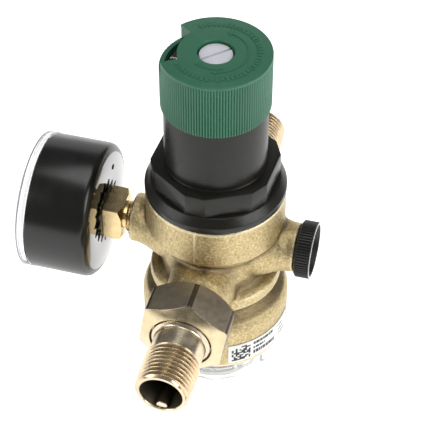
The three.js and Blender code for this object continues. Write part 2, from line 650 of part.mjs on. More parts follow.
function gaugeLink() {
  const from = tailPin();
  const to = bourdonTip();
  const reach = to.distanceTo(from);
  const angle = THREE.MathUtils.radToDeg(to.clone().sub(from).angle());
  const eye = rod(1.9, LINK_BACK, LINK_FRONT, SMALL_ROUND);
  const bar = block([0, -0.7, LINK_BACK], [reach, 0.7, LINK_FRONT]);
  const hole = rod(0.95, LINK_BACK - 1, LINK_FRONT + 1, SMALL_ROUND);
  const farEnd = [reach, 0, 0];
  return eye
    .add(bar)
    .add(eye.translate(farEnd))
    .subtract(hole)
    .subtract(hole.translate(farEnd))
    .rotate([0, 0, angle])
    .translate([from.x, from.y, 0]);
}

function gaugeMovementPlates() {
  const outline = [[-7, -22.6], [7, -22.6], [7, 5.2], [-7, 5.2]];
  let body = prism(outline, 54.3, 55.1).add(prism(outline, 60.3, 61.1));
  for (const [x, y] of [[-5.4, -21], [-5.4, 3.6], [5.4, 3.6]]) {
    body = body.add(rod(1.1, 54.5, 62.9, 8).translate([x, y, 0]));
  }
  const holes = rod(1.2, 50, 65, SMALL_ROUND);
  return body.subtract(holes).subtract(holes.translate([0, SECTOR_PIVOT, 0]));
}

class BourdonLine extends THREE.Curve {
  getPoint(t, target = new THREE.Vector3()) {
    const [x, y] = polar(BOURDON_RADIUS, 270 - 305 * t);
    return target.set(x, y, BOURDON_PLANE);
  }
}

function gaugeBourdonTube() {
  const section = [[-2.4, -1.1], [2.4, -1.1], [2.4, 1.1], [-2.4, 1.1]];
  const shape = new THREE.Shape(section.map(([x, y]) => new THREE.Vector2(x, y)));
  const settings = { steps: 30, extrudePath: new BourdonLine(), bevelEnabled: false };
  return solid(new THREE.ExtrudeGeometry(shape, settings));
}

function gaugeSocket() {
  const half = SOCKET_SQUARE / 2;
  const square = block([-half, -half, SOCKET_BACK], [half, half, SOCKET_FRONT]);
  const chamfer = turned([
    [0, SOCKET_BACK], [8.6, SOCKET_BACK], [10.9, SOCKET_BACK + 1.1], [10.9, SOCKET_FRONT],
    [0, SOCKET_FRONT],
  ], LARGE_ROUND);
  const stub = rod(SIDE_THREAD_RADIUS, SIDE_STUB_END, SOCKET_BACK + 0.5);
  const neck = rod(5.7, SOCKET_FRONT - 1, GAUGE_BACK + 3);
  const carrier = block([-4.6, -17.4, 46.8], [4.6, 5, 53]);
  const bore = rod(2.2, 24, 50, SMALL_ROUND);
  return square.intersect(chamfer).add(stub).add(neck).add(carrier).subtract(bore);
}

function gaugeStarWasher() {
  const teeth = 12;
  const corners = [];
  for (let i = 0; i < teeth; i += 1) {
    const angle = (360 * i) / teeth;
    corners.push(polar(9.3, angle - 9), polar(11.8, angle), polar(9.3, angle + 9));
  }
  const level = SOCKET_FRONT + GAP;
  return prism(corners, level, level + 0.4).subtract(rod(6.1, level - 1, level + 1));
}

function blankingPlug() {
  const head = turned([
    [0, SIDE_PORT_FACE + GAP], [9.8, SIDE_PORT_FACE + GAP], [10.9, 34.6], [PLUG_HEAD_RADIUS, 35.2],
    [PLUG_HEAD_RADIUS, 39.2], [PLUG_HEAD_RADIUS - 0.4, PLUG_HEAD_END], [10.2, PLUG_HEAD_END], [9.6, 37],
    [0, 37],
  ], LARGE_ROUND);
  return head.add(rod(SIDE_THREAD_RADIUS, SIDE_STUB_END, SIDE_PORT_FACE + 1));
}

// A thin sheet bent round the lower body.
function label() {
  const inner = HOUSING_RADIUS + 0.4;
  return wedge(inner, inner + 0.25, -65, 0, LABEL_BOTTOM, LABEL_TOP, 12);
}

// A group whose own Z axis points outward from the valve, with its Y axis up.
function outwardGroup(outward, height, meshes) {
  const group = new THREE.Group();
  group.setRotationFromMatrix(facing(outward));
  group.position.z = height;
  group.add(...meshes);
  return group;
}

function unionGroup(end, outward) {
  return outwardGroup(outward, 0, [
    named(`union_nut_${end}`, unionNut(), materials.rawBrass),
    named(`union_tail_${end}`, unionTail(), materials.turnedBrass),
    named(`union_gasket_${end}`, unionGasket(), materials.fibre),
  ]);
}

function gaugeGroup() {
  return outwardGroup(LEFT, SIDE_PORT_HEIGHT, [
    named('gauge_case', gaugeCase(), materials.blackEnamel),
    named('gauge_window', gaugeWindow(), materials.clearPlastic),
    named('gauge_dial', gaugeDial(), materials.white),
    named('gauge_pointer', gaugePointer(), materials.blackPlastic),
    named('gauge_pinion_shaft', gaugePinionShaft(), materials.turnedBrass),
    named('gauge_sector', gaugeSector(), materials.turnedBrass),
    named('gauge_link', gaugeLink(), materials.turnedBrass),
    named('gauge_movement_plates', gaugeMovementPlates(), materials.turnedBrass),
    named('gauge_bourdon_tube', gaugeBourdonTube(), materials.turnedBrass),
    named('gauge_socket', gaugeSocket(), materials.turnedBrass),
    named('gauge_star_washer', gaugeStarWasher(), materials.steel),
    named('gauge_seal', oRing(6.75, 1.4, 32.3), materials.rubber),
  ]);
}

function plugGroup() {
  return outwardGroup(RIGHT, SIDE_PORT_HEIGHT, [
    named('blanking_plug', blankingPlug(), materials.blackPlastic),
    named('plug_oring', oRing(6.75, 1.4, 32.3), materials.rubber),
  ]);
}

const valve = new THREE.Group();
valve.position.z = PIPE_HEIGHT;
valve.add(
  named('housing', housing(), materials.castBrass),
  named('bonnet', bonnet(), materials.greyPlastic),
  named('knob', knob(), materials.greenPlastic),
  named('lock_screw', lockScrew(), materials.steel),
  named('adjusting_spindle', adjustingSpindle(), materials.turnedBrass),
  named('setting_scale', settingScale(), materials.blackPlastic),
  named('spring_plate', springPlate(), materials.turnedBrass),
  named('adjustment_spring', adjustmentSpring(), materials.springSteel),
  named('diaphragm_plate', diaphragmPlate(), materials.turnedBrass),
  named('diaphragm', diaphragm(), materials.rubber),
  named('slip_ring', slipRing(), materials.white),
  named('valve_insert', valveInsert(), materials.blackPlastic),
  named('insert_oring', oRing(12.05, 1.05, -2.7), materials.rubber),
  named('valve_stem', valveStem(), materials.steel),
  named('valve_disc', valveDisc(), materials.turnedBrass),
  named('disc_seal', discSeal(), materials.rubber),
  named('stem_nut', stemNut(), materials.turnedBrass),
  named('sieve_frame', sieveFrame(), materials.white),
  named('sieve_mesh', sieveMesh(), materials.steel),
  named('sieve_bowl', sieveBowl(), materials.clearPlastic),
  named('bowl_oring', oRing(22, 1.4, -30.5, LARGE_ROUND), materials.rubber),
  named('label', label(), materials.white),
  unionGroup('front', FRONT),
  unionGroup('rear', REAR),
  gaugeGroup(),
  plugGroup(),
);

const assembly = new THREE.Group();
assembly.name = 'pressure_reducing_valve';
assembly.add(valve);
assembly.updateMatrixWorld(true);

export default assembly;
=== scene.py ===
import math
import random

import bmesh
import bpy
import numpy as np
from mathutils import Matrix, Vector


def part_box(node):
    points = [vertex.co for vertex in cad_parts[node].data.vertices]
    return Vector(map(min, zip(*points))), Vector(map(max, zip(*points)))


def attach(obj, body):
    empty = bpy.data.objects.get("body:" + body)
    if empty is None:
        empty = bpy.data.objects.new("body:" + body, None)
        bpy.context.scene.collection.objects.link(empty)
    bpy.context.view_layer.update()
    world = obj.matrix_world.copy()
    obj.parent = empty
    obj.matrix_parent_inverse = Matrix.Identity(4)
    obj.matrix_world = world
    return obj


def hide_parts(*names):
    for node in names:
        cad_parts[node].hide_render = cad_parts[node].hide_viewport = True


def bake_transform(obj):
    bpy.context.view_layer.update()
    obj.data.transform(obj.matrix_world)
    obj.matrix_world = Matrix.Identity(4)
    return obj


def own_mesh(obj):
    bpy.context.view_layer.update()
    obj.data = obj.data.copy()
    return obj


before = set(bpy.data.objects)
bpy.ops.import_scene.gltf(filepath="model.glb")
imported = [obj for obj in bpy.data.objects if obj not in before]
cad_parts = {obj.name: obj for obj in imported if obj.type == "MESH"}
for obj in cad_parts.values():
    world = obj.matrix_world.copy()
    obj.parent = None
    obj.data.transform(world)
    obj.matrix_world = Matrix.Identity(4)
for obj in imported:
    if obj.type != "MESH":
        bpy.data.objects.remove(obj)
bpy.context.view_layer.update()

import openvdb
from mathutils import Matrix, Vector

MM = 0.001
UP = np.array([0.0, 0.0, 1.0])
LEFT = np.array([-1.0, 0.0, 0.0])
RIGHT = np.array([1.0, 0.0, 0.0])
FRONT = np.array([0.0, -1.0, 0.0])
REAR = np.array([0.0, 1.0, 0.0])


# ---------------------------------------------------------------- places from the frame
def low(node):
    return np.array(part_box(node)[0]) / MM


def high(node):
    return np.array(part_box(node)[1]) / MM


def radius_of(node):
    """Half the node's width across the valve, for pieces turned about Z."""
    return (high(node)[1] - low(node)[1]) / 2


PIPE = (low("union_tail_front")[2] + high("union_tail_front")[2]) / 2
GAUGE_HEIGHT = (low("gauge_case")[2] + high("gauge_case")[2]) / 2
# the pipe thread's pitch and bore radius, the side threads' pitch and crest radius
PIPE_PITCH = 1.814
PIPE_BORE = 8.0
SIDE_PITCH = 1.337
SIDE_CREST = 6.5
# how far a printed shape lies off its surface
PRINT_GAP = 0.04


# ---------------------------------------------------------------- mesh building
def add_object(name, mesh, material):
    obj = bpy.data.objects.new(name, mesh)
    bpy.context.scene.collection.objects.link(obj)
    mesh.materials.append(material)
    return obj


def finishes(obj, *materials):
    """Gives a piece these materials in place of the ones it has."""
    obj.data.materials.clear()
    for material in materials:
        obj.data.materials.append(material)


def shade(obj, angle=32):
    obj.data.shade_smooth()
    obj.data.set_sharp_from_angle(angle=math.radians(angle))
    return obj


def stood(points, outward, height):
    """Turns points given in a frame whose Z axis is outward and whose Y axis is up."""
    side = np.cross(UP, outward)
    points = np.asarray(points, float)
    placed = points[..., :1] * side + points[..., 1:2] * UP + points[..., 2:3] * outward
    placed[..., 2] += height
    return placed


def placing(right, up, place):
    """The transform that lays a drawing at a place, along its right and up directions."""
    turn = np.eye(4)
    turn[:3, :3] = np.stack([right, up, np.cross(right, up)], axis=1)
    turn[:3, 3] = np.asarray(place) * MM
    return Matrix(turn.tolist())


def mesh_of(name, vertices, faces):
    mesh = bpy.data.meshes.new(name)
    mesh.from_pydata((np.asarray(vertices, float) * MM).tolist(), [], faces)
    work = bmesh.new()
    work.from_mesh(mesh)
    bmesh.ops.remove_doubles(work, verts=work.verts, dist=2e-7)
    bmesh.ops.dissolve_degenerate(work, edges=work.edges, dist=1e-8)
    bmesh.ops.recalc_face_normals(work, faces=work.faces)
    work.to_mesh(mesh)
    work.free()
    mesh.update()
    return mesh


def rounded(outline, steps=3):
    """An outline of (radius, height) or (radius, height, fillet) corners with its fillets as arcs."""
    points = []
    count = len(outline)
    for i, corner in enumerate(outline):
        here = np.array(corner[:2], float)
        fillet = corner[2] if len(corner) > 2 else 0
        if not fillet:
            points.append(here)
            continue
        before = np.array(outline[i - 1][:2], float) - here
        after = np.array(outline[(i + 1) % count][:2], float) - here
        reach_before, reach_after = np.linalg.norm(before), np.linalg.norm(after)
        before, after = before / reach_before, after / reach_after
        half = math.acos(np.clip(before @ after, -1, 1)) / 2
        if half > math.radians(88):
            points.append(here)
            continue
        reach = min(fillet / math.tan(half), 0.48 * reach_before, 0.48 * reach_after)
        radius = reach * math.tan(half)
        middle = before + after
        centre = here + middle / np.linalg.norm(middle) * radius / math.sin(half)
        start, end = here + before * reach - centre, here + after * reach - centre
        turn = math.atan2(start[0] * end[1] - start[1] * end[0], start @ end)
        for k in range(steps + 1):
            angle = turn * k / steps
            c, s = math.cos(angle), math.sin(angle)
            points.append(centre + np.array([start[0] * c - start[1] * s, start[0] * s + start[1] * c]))
    return np.array(points)


def grid_faces(rows, columns, wrap_rows):
    faces = []
    for i in range(rows if wrap_rows else rows - 1):
        a, b = i * columns, ((i + 1) % rows) * columns
        for j in range(columns):
            k = (j + 1) % columns
            faces.append((a + j, a + k, b + k, b + j))
    return faces


def turned_mesh(name, outline, sides=96, outward=UP, height=0.0, relief=None, first=0.0):
    """A mesh turned about the outward axis. relief(radius, height, angle) gives each point's radius."""
    profile = rounded(outline)
    on_axis = profile[0][0] == 0 and profile[-1][0] == 0
    angles = first + np.arange(sides) * 2 * math.pi / sides
    radius = np.repeat(profile[:, :1], sides, axis=1)
    along = np.repeat(profile[:, 1:2], sides, axis=1)
    angle = np.repeat(angles[None, :], len(profile), axis=0)
    if relief:
        radius = relief(radius, along, angle)
    points = np.stack([radius * np.cos(angle), radius * np.sin(angle), along], axis=-1)
    if outward is not UP:
        points = stood(points, outward, height)
    faces = grid_faces(len(profile), sides, not on_axis)
    return mesh_of(name, points.reshape(-1, 3), faces)


def turned(name, outline, material, **settings):
    return shade(add_object(name, turned_mesh(name, outline, **settings), material))


def swept(name, rings, material, angle=32):
    """A closed solid through rings of points, capped at both ends."""
    rings = np.array(rings, float)
    rows, columns = rings.shape[:2]
    faces = grid_faces(rows, columns, False)
    faces.append(tuple(range(columns)))
    faces.append(tuple(range(rows * columns - 1, (rows - 1) * columns - 1, -1)))
    return shade(add_object(name, mesh_of(name, rings.reshape(-1, 3), faces), material), angle)


def prisms_mesh(name, shapes, bottom, top, outward=UP, height=0.0):
    """Straight prisms between two heights, one on each shape, in one mesh."""
    points, faces = [], []
    for corners in shapes:
        first, count = len(points), len(corners)
        points += [(x, y, bottom) for x, y in corners] + [(x, y, top) for x, y in corners]
        faces.append(tuple(range(first + count - 1, first - 1, -1)))
        faces.append(tuple(range(first + count, first + 2 * count)))
        for i in range(count):
            a, b = first + i, first + (i + 1) % count
            faces.append((a, b, b + count, a + count))
    if outward is not UP:
        points = stood(points, outward, height)
    return mesh_of(name, points, faces)


def prism_mesh(name, corners, bottom, top, **settings):
    return prisms_mesh(name, [corners], bottom, top, **settings)


def prism(name, corners, bottom, top, material, **settings):
    return add_object(name, prism_mesh(name, corners, bottom, top, **settings), material)


def printed(name, shapes, material):
    """Flat printed shapes, each a list of points, in one mesh."""
    vertices, faces = [], []
    for shape in shapes:
        first = len(vertices)
        vertices.extend(shape)
        faces.append(tuple(range(first, first + len(shape))))
    return add_object(name, mesh_of(name, vertices, faces), material)


def rod_mesh(radius, bottom, top, sides=96, **settings):
    """A plain cylinder, to cut or join with."""
    outline = [(0, bottom), (radius, bottom), (radius, top), (0, top)]
    return turned_mesh("rod", outline, sides=sides, **settings)


def ring_outline(inner, outer, bottom, top, fillet=0.2):
    return [(inner, bottom, fillet), (outer, bottom, fillet), (outer, top, fillet), (inner, top, fillet)]


def box_corners(x0, y0, x1, y1):
    return [(x0, y0), (x1, y0), (x1, y1), (x0, y1)]


def polar(radius, degrees):
    return radius * math.cos(math.radians(degrees)), radius * math.sin(math.radians(degrees))


def turned_corners(corners, degrees):
    c, s = polar(1, degrees)
    return [(x * c - y * s, x * s + y * c) for x, y in corners]


def wedge_corners(inner, outer, start, end, steps=24):
    outside = [polar(outer, start + (end - start) * i / steps) for i in range(steps + 1)]
    inside = [polar(inner, end - (end - start) * i / steps) for i in range(steps + 1)]
    return outside + inside


def apply_modifiers(obj):
    bpy.context.view_layer.objects.active = obj
    for modifier in list(obj.modifiers):
        bpy.ops.object.modifier_apply(modifier=modifier.name)
    return obj


def combine(obj, tool, operation="UNION"):
    """Joins, cuts or intersects a piece with an object, or with a mesh in the piece's own material."""
    if isinstance(tool, bpy.types.Mesh):
        tool = add_object(tool.name, tool, obj.data.materials[0])
    modifier = obj.modifiers.new(operation, "BOOLEAN")
    modifier.operation = operation
    modifier.solver = "EXACT"
    modifier.object = tool
    apply_modifiers(obj)
    bpy.data.objects.remove(tool)
    return obj


def cut(obj, *tools):
    for tool in tools:
        combine(obj, tool, "DIFFERENCE")
    return obj


def bevelled(obj, width, angle=30, segments=2):
    """Softens the edges sharper than the angle, so that they catch the light."""
    modifier = obj.modifiers.new("edges", "BEVEL")
    modifier.width = width * MM
    modifier.segments = segments
    modifier.limit_method = "ANGLE"
    modifier.angle_limit = math.radians(angle)
    modifier.harden_normals = False
    apply_modifiers(obj)
    return shade(obj, 40)


def settle(obj, slot, *nodes, body="valve_body"):
    """The piece rides on its body and stands for its CAD nodes, if any. The slot is not used."""
    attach(obj, body)
    if nodes:
        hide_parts(*nodes)
    return obj


# ---------------------------------------------------------------- materials
class Finish:
    """A principled material with helpers for its procedural detail. Lengths are in millimetres."""

    def __init__(self, name, color, roughness, metallic=0.0, **sockets):
        self.material = bpy.data.materials.new(name)
        self.material.use_nodes = True
        self.nodes = self.material.node_tree.nodes
        self.links = self.material.node_tree.links
        self.shader = self.nodes["Principled BSDF"]
        self.shader.inputs["Base Color"].default_value = (*color, 1)
        self.shader.inputs["Roughness"].default_value = roughness
        self.shader.inputs["Metallic"].default_value = metallic
        for socket, value in sockets.items():
            self.shader.inputs[socket.replace("_", " ")].default_value = value

    def new(self, kind, inputs, **settings):
        """Adds a node. An input takes a value, or a socket that it is linked to."""
        node = self.nodes.new(kind)
        for name, value in settings.items():
            setattr(node, name, value)
        for name, value in inputs.items():
            if isinstance(value, bpy.types.NodeSocket):
                self.links.new(value, node.inputs[name])
            else:
                node.inputs[name].default_value = value
        return node

    def vector(self, operation, *inputs):
        return self.new("ShaderNodeVectorMath", dict(enumerate(inputs)), operation=operation)

    def place(self):
        return self.new("ShaderNodeTexCoord", {}).outputs["Object"]

    def current(self, name):
        """What feeds the shader's socket now: a linked socket or a plain value."""
        socket = self.shader.inputs[name]
        return socket.links[0].from_socket if socket.is_linked else tuple(socket.default_value)

    def noise(self, size, detail=3, rough=0.5):
        """Noise with features about size millimetres across."""
        scale = 1 / (size * MM)
        mapping = self.new("ShaderNodeMapping", {"Vector": self.place(), "Scale": (scale, scale, scale)})
        inputs = {"Vector": mapping.outputs["Vector"], "Scale": 1, "Detail": detail, "Roughness": rough}
        return self.new("ShaderNodeTexNoise", inputs).outputs["Fac"]

    def rings(self, axis, centre, pitch):
        """Fine turning marks: noise that only changes with the distance from an axis and along it."""
        offset = self.vector("SUBTRACT", self.place(), tuple(c * MM for c in centre)).outputs[0]
        across = self.vector("MULTIPLY", offset, tuple(1 - abs(a) for a in axis)).outputs[0]
        distance = self.vector("LENGTH", across).outputs["Value"]
        along = self.vector("DOT_PRODUCT", offset, tuple(abs(a) for a in axis)).outputs["Value"]
        joined = self.new("ShaderNodeCombineXYZ", {"X": distance, "Y": along})
        inputs = {"Vector": joined.outputs[0], "Scale": 1 / (pitch * MM), "Detail": 2}
        return self.new("ShaderNodeTexNoise", inputs).outputs["Fac"]

    def range(self, value, start, end, low_value=0.0, high_value=1.0):
        return self.new("ShaderNodeMapRange", {
            "Value": value, "From Min": start, "From Max": end, "To Min": low_value, "To Max": high_value,
        }).outputs["Result"]

    def tint(self, factor, color):
        """Mixes another colour in where the factor is high."""
        inputs = {"Factor": factor, "A": self.current("Base Color"), "B": (*color, 1)}
        node = self.new("ShaderNodeMix", inputs, data_type="RGBA")
        self.links.new(node.outputs["Result"], self.shader.inputs["Base Color"])

    def roughness(self, factor, smooth, rough):
        self.links.new(self.range(factor, 0.3, 0.7, smooth, rough), self.shader.inputs["Roughness"])

    def bump(self, value, depth, strength=1.0):
        """Adds relief of about depth millimetres."""
        inputs = {"Height": value, "Strength": strength, "Distance": depth * MM}
        if self.shader.inputs["Normal"].is_linked:
            inputs["Normal"] = self.current("Normal")
        node = self.new("ShaderNodeBump", inputs)
        self.links.new(node.outputs["Normal"], self.shader.inputs["Normal"])

    def attribute(self, name):
        return self.new("ShaderNodeAttribute", {}, attribute_name=name).outputs["Fac"]


def cast_brass():
    made = Finish("cast_brass", (0.50, 0.395, 0.205), 0.42, 1.0)
    grain = made.noise(0.9, 4, rough=0.65)
    made.tint(made.range(made.noise(9, 3), 0.45, 0.75, 0, 0.3), (0.38, 0.29, 0.14))
    made.tint(made.range(grain, 0.49, 0.66, 0, 0.75), (0.80, 0.68, 0.41))
    made.tint(made.range(grain, 0.46, 0.32, 0, 0.75), (0.25, 0.185, 0.085))
    # painted shade: darker in hollows and in the two grooves beside the port, and a painted shadow line under
    # the lower rim
    made.tint(made.attribute("recess"), (0.17, 0.125, 0.07))
    # paler on proud ridges as wear, and a band of painted highlight on the turned lower rim
    made.tint(made.attribute("worn"), (0.86, 0.76, 0.52))
    made.roughness(grain, 0.36, 0.54)
    made.bump(grain, 0.22, 0.7)
    made.bump(made.noise(0.45, 2), 0.10, 0.5)
    return made.material


def turned_metal(name, color, dark, roughness, axis, centre, pitch=0.25, depth=0.012):
    made = Finish(name, color, roughness, 1.0)
    marks = made.rings(axis, centre, pitch)
    made.tint(made.range(made.noise(6, 3), 0.4, 0.8, 0, 0.5), dark)
    made.roughness(made.noise(3, 3), roughness * 0.8, roughness * 1.35)
    made.bump(marks, depth, 0.5)
    return made.material


def nut_flat_brass(name, color, pale):
    """Dark mottled brass with a paler bloom: forged flats left dark by their heat, and painted shade in nut
    corners, bores and thread roots.
    """
    made = Finish(name, color, 0.42, 0.75)
    made.tint(made.range(made.noise(3.0, 5, rough=0.65), 0.42, 0.72, 0, 0.5), pale)
    made.tint(made.range(made.noise(0.35, 2), 0.5, 0.8, 0, 0.3), (0.10, 0.08, 0.06))
    made.roughness(made.noise(1.5, 3), 0.36, 0.55)
    made.bump(made.noise(0.4, 3), 0.03, 0.5)
    return made.material


def moulded(name, color, roughness, grain=0.35, depth=0.012, **sockets):
    made = Finish(name, color, roughness, 0.0, **sockets)
    speck = made.noise(grain, 3)
    pale = tuple(min(1, c * 1.25 + 0.004) for c in color)
    made.tint(made.range(made.noise(7, 2), 0.4, 0.8, 0, 0.3), pale)
    made.roughness(made.noise(2.2, 3), roughness * 0.9, roughness * 1.15)
    made.bump(speck, depth, 0.4)
    return made.material


def gloss_black(name, roughness, coat):
    made = Finish(name, (0.0085, 0.0085, 0.0075), roughness, Coat_Weight=coat, Coat_Roughness=0.05)
    made.roughness(made.noise(4, 2), roughness * 0.9, roughness * 1.12)
    made.bump(made.noise(0.5, 2), 0.003, 0.3)
    return made.material


def clear_plastic(name, ior, solid):
    """Clear moulding. The solid share scatters light, as thick clear plastic looks pale."""
    made = Finish(
        name, (0.985, 0.99, 0.99), 0.04,
        Transmission_Weight=1 - solid, IOR=ior, Coat_Weight=0.4, Coat_Roughness=0.04,
    )
    made.roughness(made.noise(6, 2), 0.03, 0.07)
    made.bump(made.noise(9, 1), 0.02, 0.1)
    return made.material


def plain_metal(name, color, roughness, size=0.3, depth=0.01, dark=None):
    made = Finish(name, color, roughness, 1.0)
    if dark:
        made.tint(made.range(made.noise(2.5, 3), 0.45, 0.75, 0, 0.5), dark)
    made.roughness(made.noise(1.6, 3), roughness * 0.8, roughness * 1.3)
    made.bump(made.noise(size, 2), depth, 0.4)
    return made.material


def floor_white():
    color, glow = (0.9, 0.9, 0.9), 0.85
    return Finish("floor_white", color, 0.9, Emission_Color=(1, 1, 1, 1), Emission_Strength=glow).material


PIPE_CENTRE = (0, 0, PIPE)
CAST_BRASS = cast_brass()
# paler brass for the flash line: a painted highlight along its ridge
CAST_EDGE_HIGHLIGHT = plain_metal("cast_edge_highlight", (0.80, 0.71, 0.50), 0.42, 0.4, 0.03, dark=(0.60, 0.50, 0.32))
TURNED_BRASS = turned_metal("turned_brass", (0.80, 0.62, 0.36), (0.66, 0.46, 0.24), 0.24, UP, (0, 0, 0))
PIPE_BRASS = turned_metal("pipe_brass", (0.73, 0.62, 0.46), (0.47, 0.38, 0.27), 0.26, FRONT, PIPE_CENTRE)
NUT_FACE = turned_metal(
    "nut_face_brass", (0.70, 0.58, 0.37), (0.46, 0.35, 0.19), 0.24, FRONT, PIPE_CENTRE, 0.3, 0.03,
)
THREAD_BRASS = turned_metal(
    "thread_brass", (0.74, 0.60, 0.41), (0.52, 0.39, 0.24), 0.28, FRONT, PIPE_CENTRE, 0.12,
)
# painted shade in the thread roots
ROOT_SHADE = nut_flat_brass("thread_root_shade", (0.20, 0.145, 0.075), (0.30, 0.22, 0.12))
SIDE_BRASS = turned_metal(
    "side_brass", (0.74, 0.58, 0.31), (0.58, 0.43, 0.21), 0.24, LEFT, (0, 0, GAUGE_HEIGHT),
)
NUT_FLAT = nut_flat_brass("nut_flat_brass", (0.27, 0.228, 0.172), (0.40, 0.35, 0.27))
# painted shade on the union nuts' rounded corners
NUT_CORNER_SHADE = nut_flat_brass("nut_corner_shade", (0.070, 0.055, 0.040), (0.13, 0.10, 0.07))
# painted shade on the walls of the nuts' holes and the tails' bores
BORE_SHADE = nut_flat_brass("bore_shade", (0.085, 0.075, 0.050), (0.12, 0.10, 0.07))
GREY_PLASTIC = moulded("grey_plastic", (0.0105, 0.010, 0.0075), 0.30, Specular_IOR_Level=0.34)
GREEN_PLASTIC = moulded("green_plastic", (0.027, 0.145, 0.078), 0.42)
BLACK_PLASTIC = moulded("black_plastic", (0.016, 0.016, 0.015), 0.36)
WHITE_PLASTIC = moulded("white_plastic", (0.82, 0.82, 0.79), 0.45)
LABEL_FILM = moulded("label_film", (0.84, 0.84, 0.82), 0.35, 0.6, 0.004)
PRINT_BLACK = moulded("print_black", (0.012, 0.012, 0.012), 0.45, 0.3, 0.002)
DIAL_WHITE = moulded("dial_enamel", (0.86, 0.86, 0.83), 0.32, 0.8, 0.003)
POINTER_BLACK = moulded("pointer_black", (0.012, 0.012, 0.012), 0.4)
RUBBER = moulded("rubber", (0.018, 0.018, 0.018), 0.62, 0.25, 0.01)
FIBRE = moulded("fibre", (0.30, 0.055, 0.035), 0.7, 0.4, 0.03)
GAUGE_BLACK = gloss_black("gauge_enamel", 0.24, 0.0)
GAUGE_PLATE = gloss_black("gauge_plate", 0.10, 1.0)
CLEAR = clear_plastic("clear_plastic", 1.22, 0.0)
BOWL_CLEAR = clear_plastic("bowl_clear", 1.125, 0.09)
# a grey line of painted shade round the clear window's rim
WINDOW_EDGE_SHADE = moulded("window_edge_shade", (0.27, 0.27, 0.33), 0.3, 0.4, 0.004)
ZINC = moulded("zinc_plate", (0.78, 0.79, 0.85), 0.36, 0.3, 0.006, Metallic=0.3)
# painted shade for the lock screw's slot
SLOT_SHADE = moulded("slot_shade", (0.10, 0.11, 0.13), 0.6, 0.3, 0.006)
STAINLESS = plain_metal("stainless_steel", (0.60, 0.60, 0.59), 0.28)
SPRING_STEEL = plain_metal("spring_steel", (0.36, 0.37, 0.39), 0.34, dark=(0.22, 0.22, 0.23))
WASHER_BLACK = plain_metal("washer_black", (0.035, 0.034, 0.033), 0.35)
# painted highlight for the blanking plug's rim
EDGE_HIGHLIGHT = moulded("edge_highlight", (0.60, 0.60, 0.58), 0.3, 0.3, 0.004)
BOURDON = plain_metal("bourdon_brass", (0.60, 0.42, 0.22), 0.3, dark=(0.42, 0.26, 0.13))


# ---------------------------------------------------------------- the cast housing
VOXEL = 0.5
CAST_BOTTOM = low("housing")[2]
CAST_TOP = high("housing")[2]
CAST_RADIUS = 29.1
SIDE_FACE = high("housing")[0]
PORT_END = high("housing")[1]
SIDE_HEIGHT = GAUGE_HEIGHT - PIPE


def outline_distance(outline, radius, height, cell=0.1):
    """Signed distance from points to a closed outline in the radius-height plane, through a table."""
    outline = rounded(outline, 6)
    columns = np.arange(-cell, radius.max() + 2 * cell, cell)
    rows = np.arange(height.min() - 2 * cell, height.max() + 2 * cell, cell)
    gx, gy = np.meshgrid(columns, rows, indexing="ij")
    best = np.full(gx.shape, 1e9)
    inside = np.zeros(gx.shape, bool)
    for (ax, ay), (bx, by) in zip(outline, np.roll(outline, -1, axis=0)):
        dx, dy = bx - ax, by - ay
        share = np.clip(((gx - ax) * dx + (gy - ay) * dy) / max(dx * dx + dy * dy, 1e-12), 0, 1)
        best = np.minimum(best, (gx - ax - share * dx) ** 2 + (gy - ay - share * dy) ** 2)
        if ay != by:
            inside ^= ((ay > gy) != (by > gy)) & (gx < dx * (gy - ay) / dy + ax)
    table = np.sqrt(best) * np.where(inside, -1, 1)
    u, v = (radius - columns[0]) / cell, (height - rows[0]) / cell
    i, j = np.clip(u.astype(int), 0, len(columns) - 2), np.clip(v.astype(int), 0, len(rows) - 2)
    u, v = u - i, v - j
    lower = table[i, j] * (1 - u) + table[i + 1, j] * u
    upper = table[i, j + 1] * (1 - u) + table[i + 1, j + 1] * u
    return lower * (1 - v) + upper * v


def smooth_union(a, b, blend):
    h = np.clip(0.5 + 0.5 * (b - a) / blend, 0, 1)
    return b * (1 - h) + a * h - blend * h * (1 - h)


def solid_outline(corners):
    """Closes an outline of a solid turned piece across the axis."""
    return [(-4, corners[0][1]), *corners, (-4, corners[-1][1])]


def cast_field(x, y, z):
    """Signed distance to the casting. Heights are measured from the pipe axis."""
    from_axis = np.hypot(x, y)
    shell = solid_outline([
        (CAST_RADIUS, CAST_BOTTOM - PIPE, 0.8), (CAST_RADIUS, -18.8, 2.0), (27.8, -15.8, 1.4),
        (23.3, -12.8, 1.6), (23.3, -10.9, 1.4), (26.1, -8.6, 1.4), (25.6, -4.9, 1.4), (21.2, -2.4, 1.8),
        (21.2, 11, 3), (25.2, 16.6, 1.0), (26.9, 18.8, 0.7), (26.9, CAST_TOP - PIPE, 0.4),
    ])
    field = outline_distance(shell, from_axis, z)
    for along in (x, -x):
        boss = solid_outline([
            (15.5, 8), (13.5, 20, 4), (10.6, 26.5, 4), (9.7, 30), (9.7, SIDE_FACE, 0.5),
        ])
        field = smooth_union(field, outline_distance(boss, np.hypot(y, z - SIDE_HEIGHT), along), 1.4)
    for along in (y, -y):
        port = solid_outline([
            (13.4, 8), (13.1, 20, 5), (12.5, 27.5, 4), (11.6, 31.0, 1.5), (11.6, 34.6), (12.0, 35),
            (12.0, 40),
        ])
        field = smooth_union(field, outline_distance(port, np.hypot(x, z), along), 2.4)
    return field


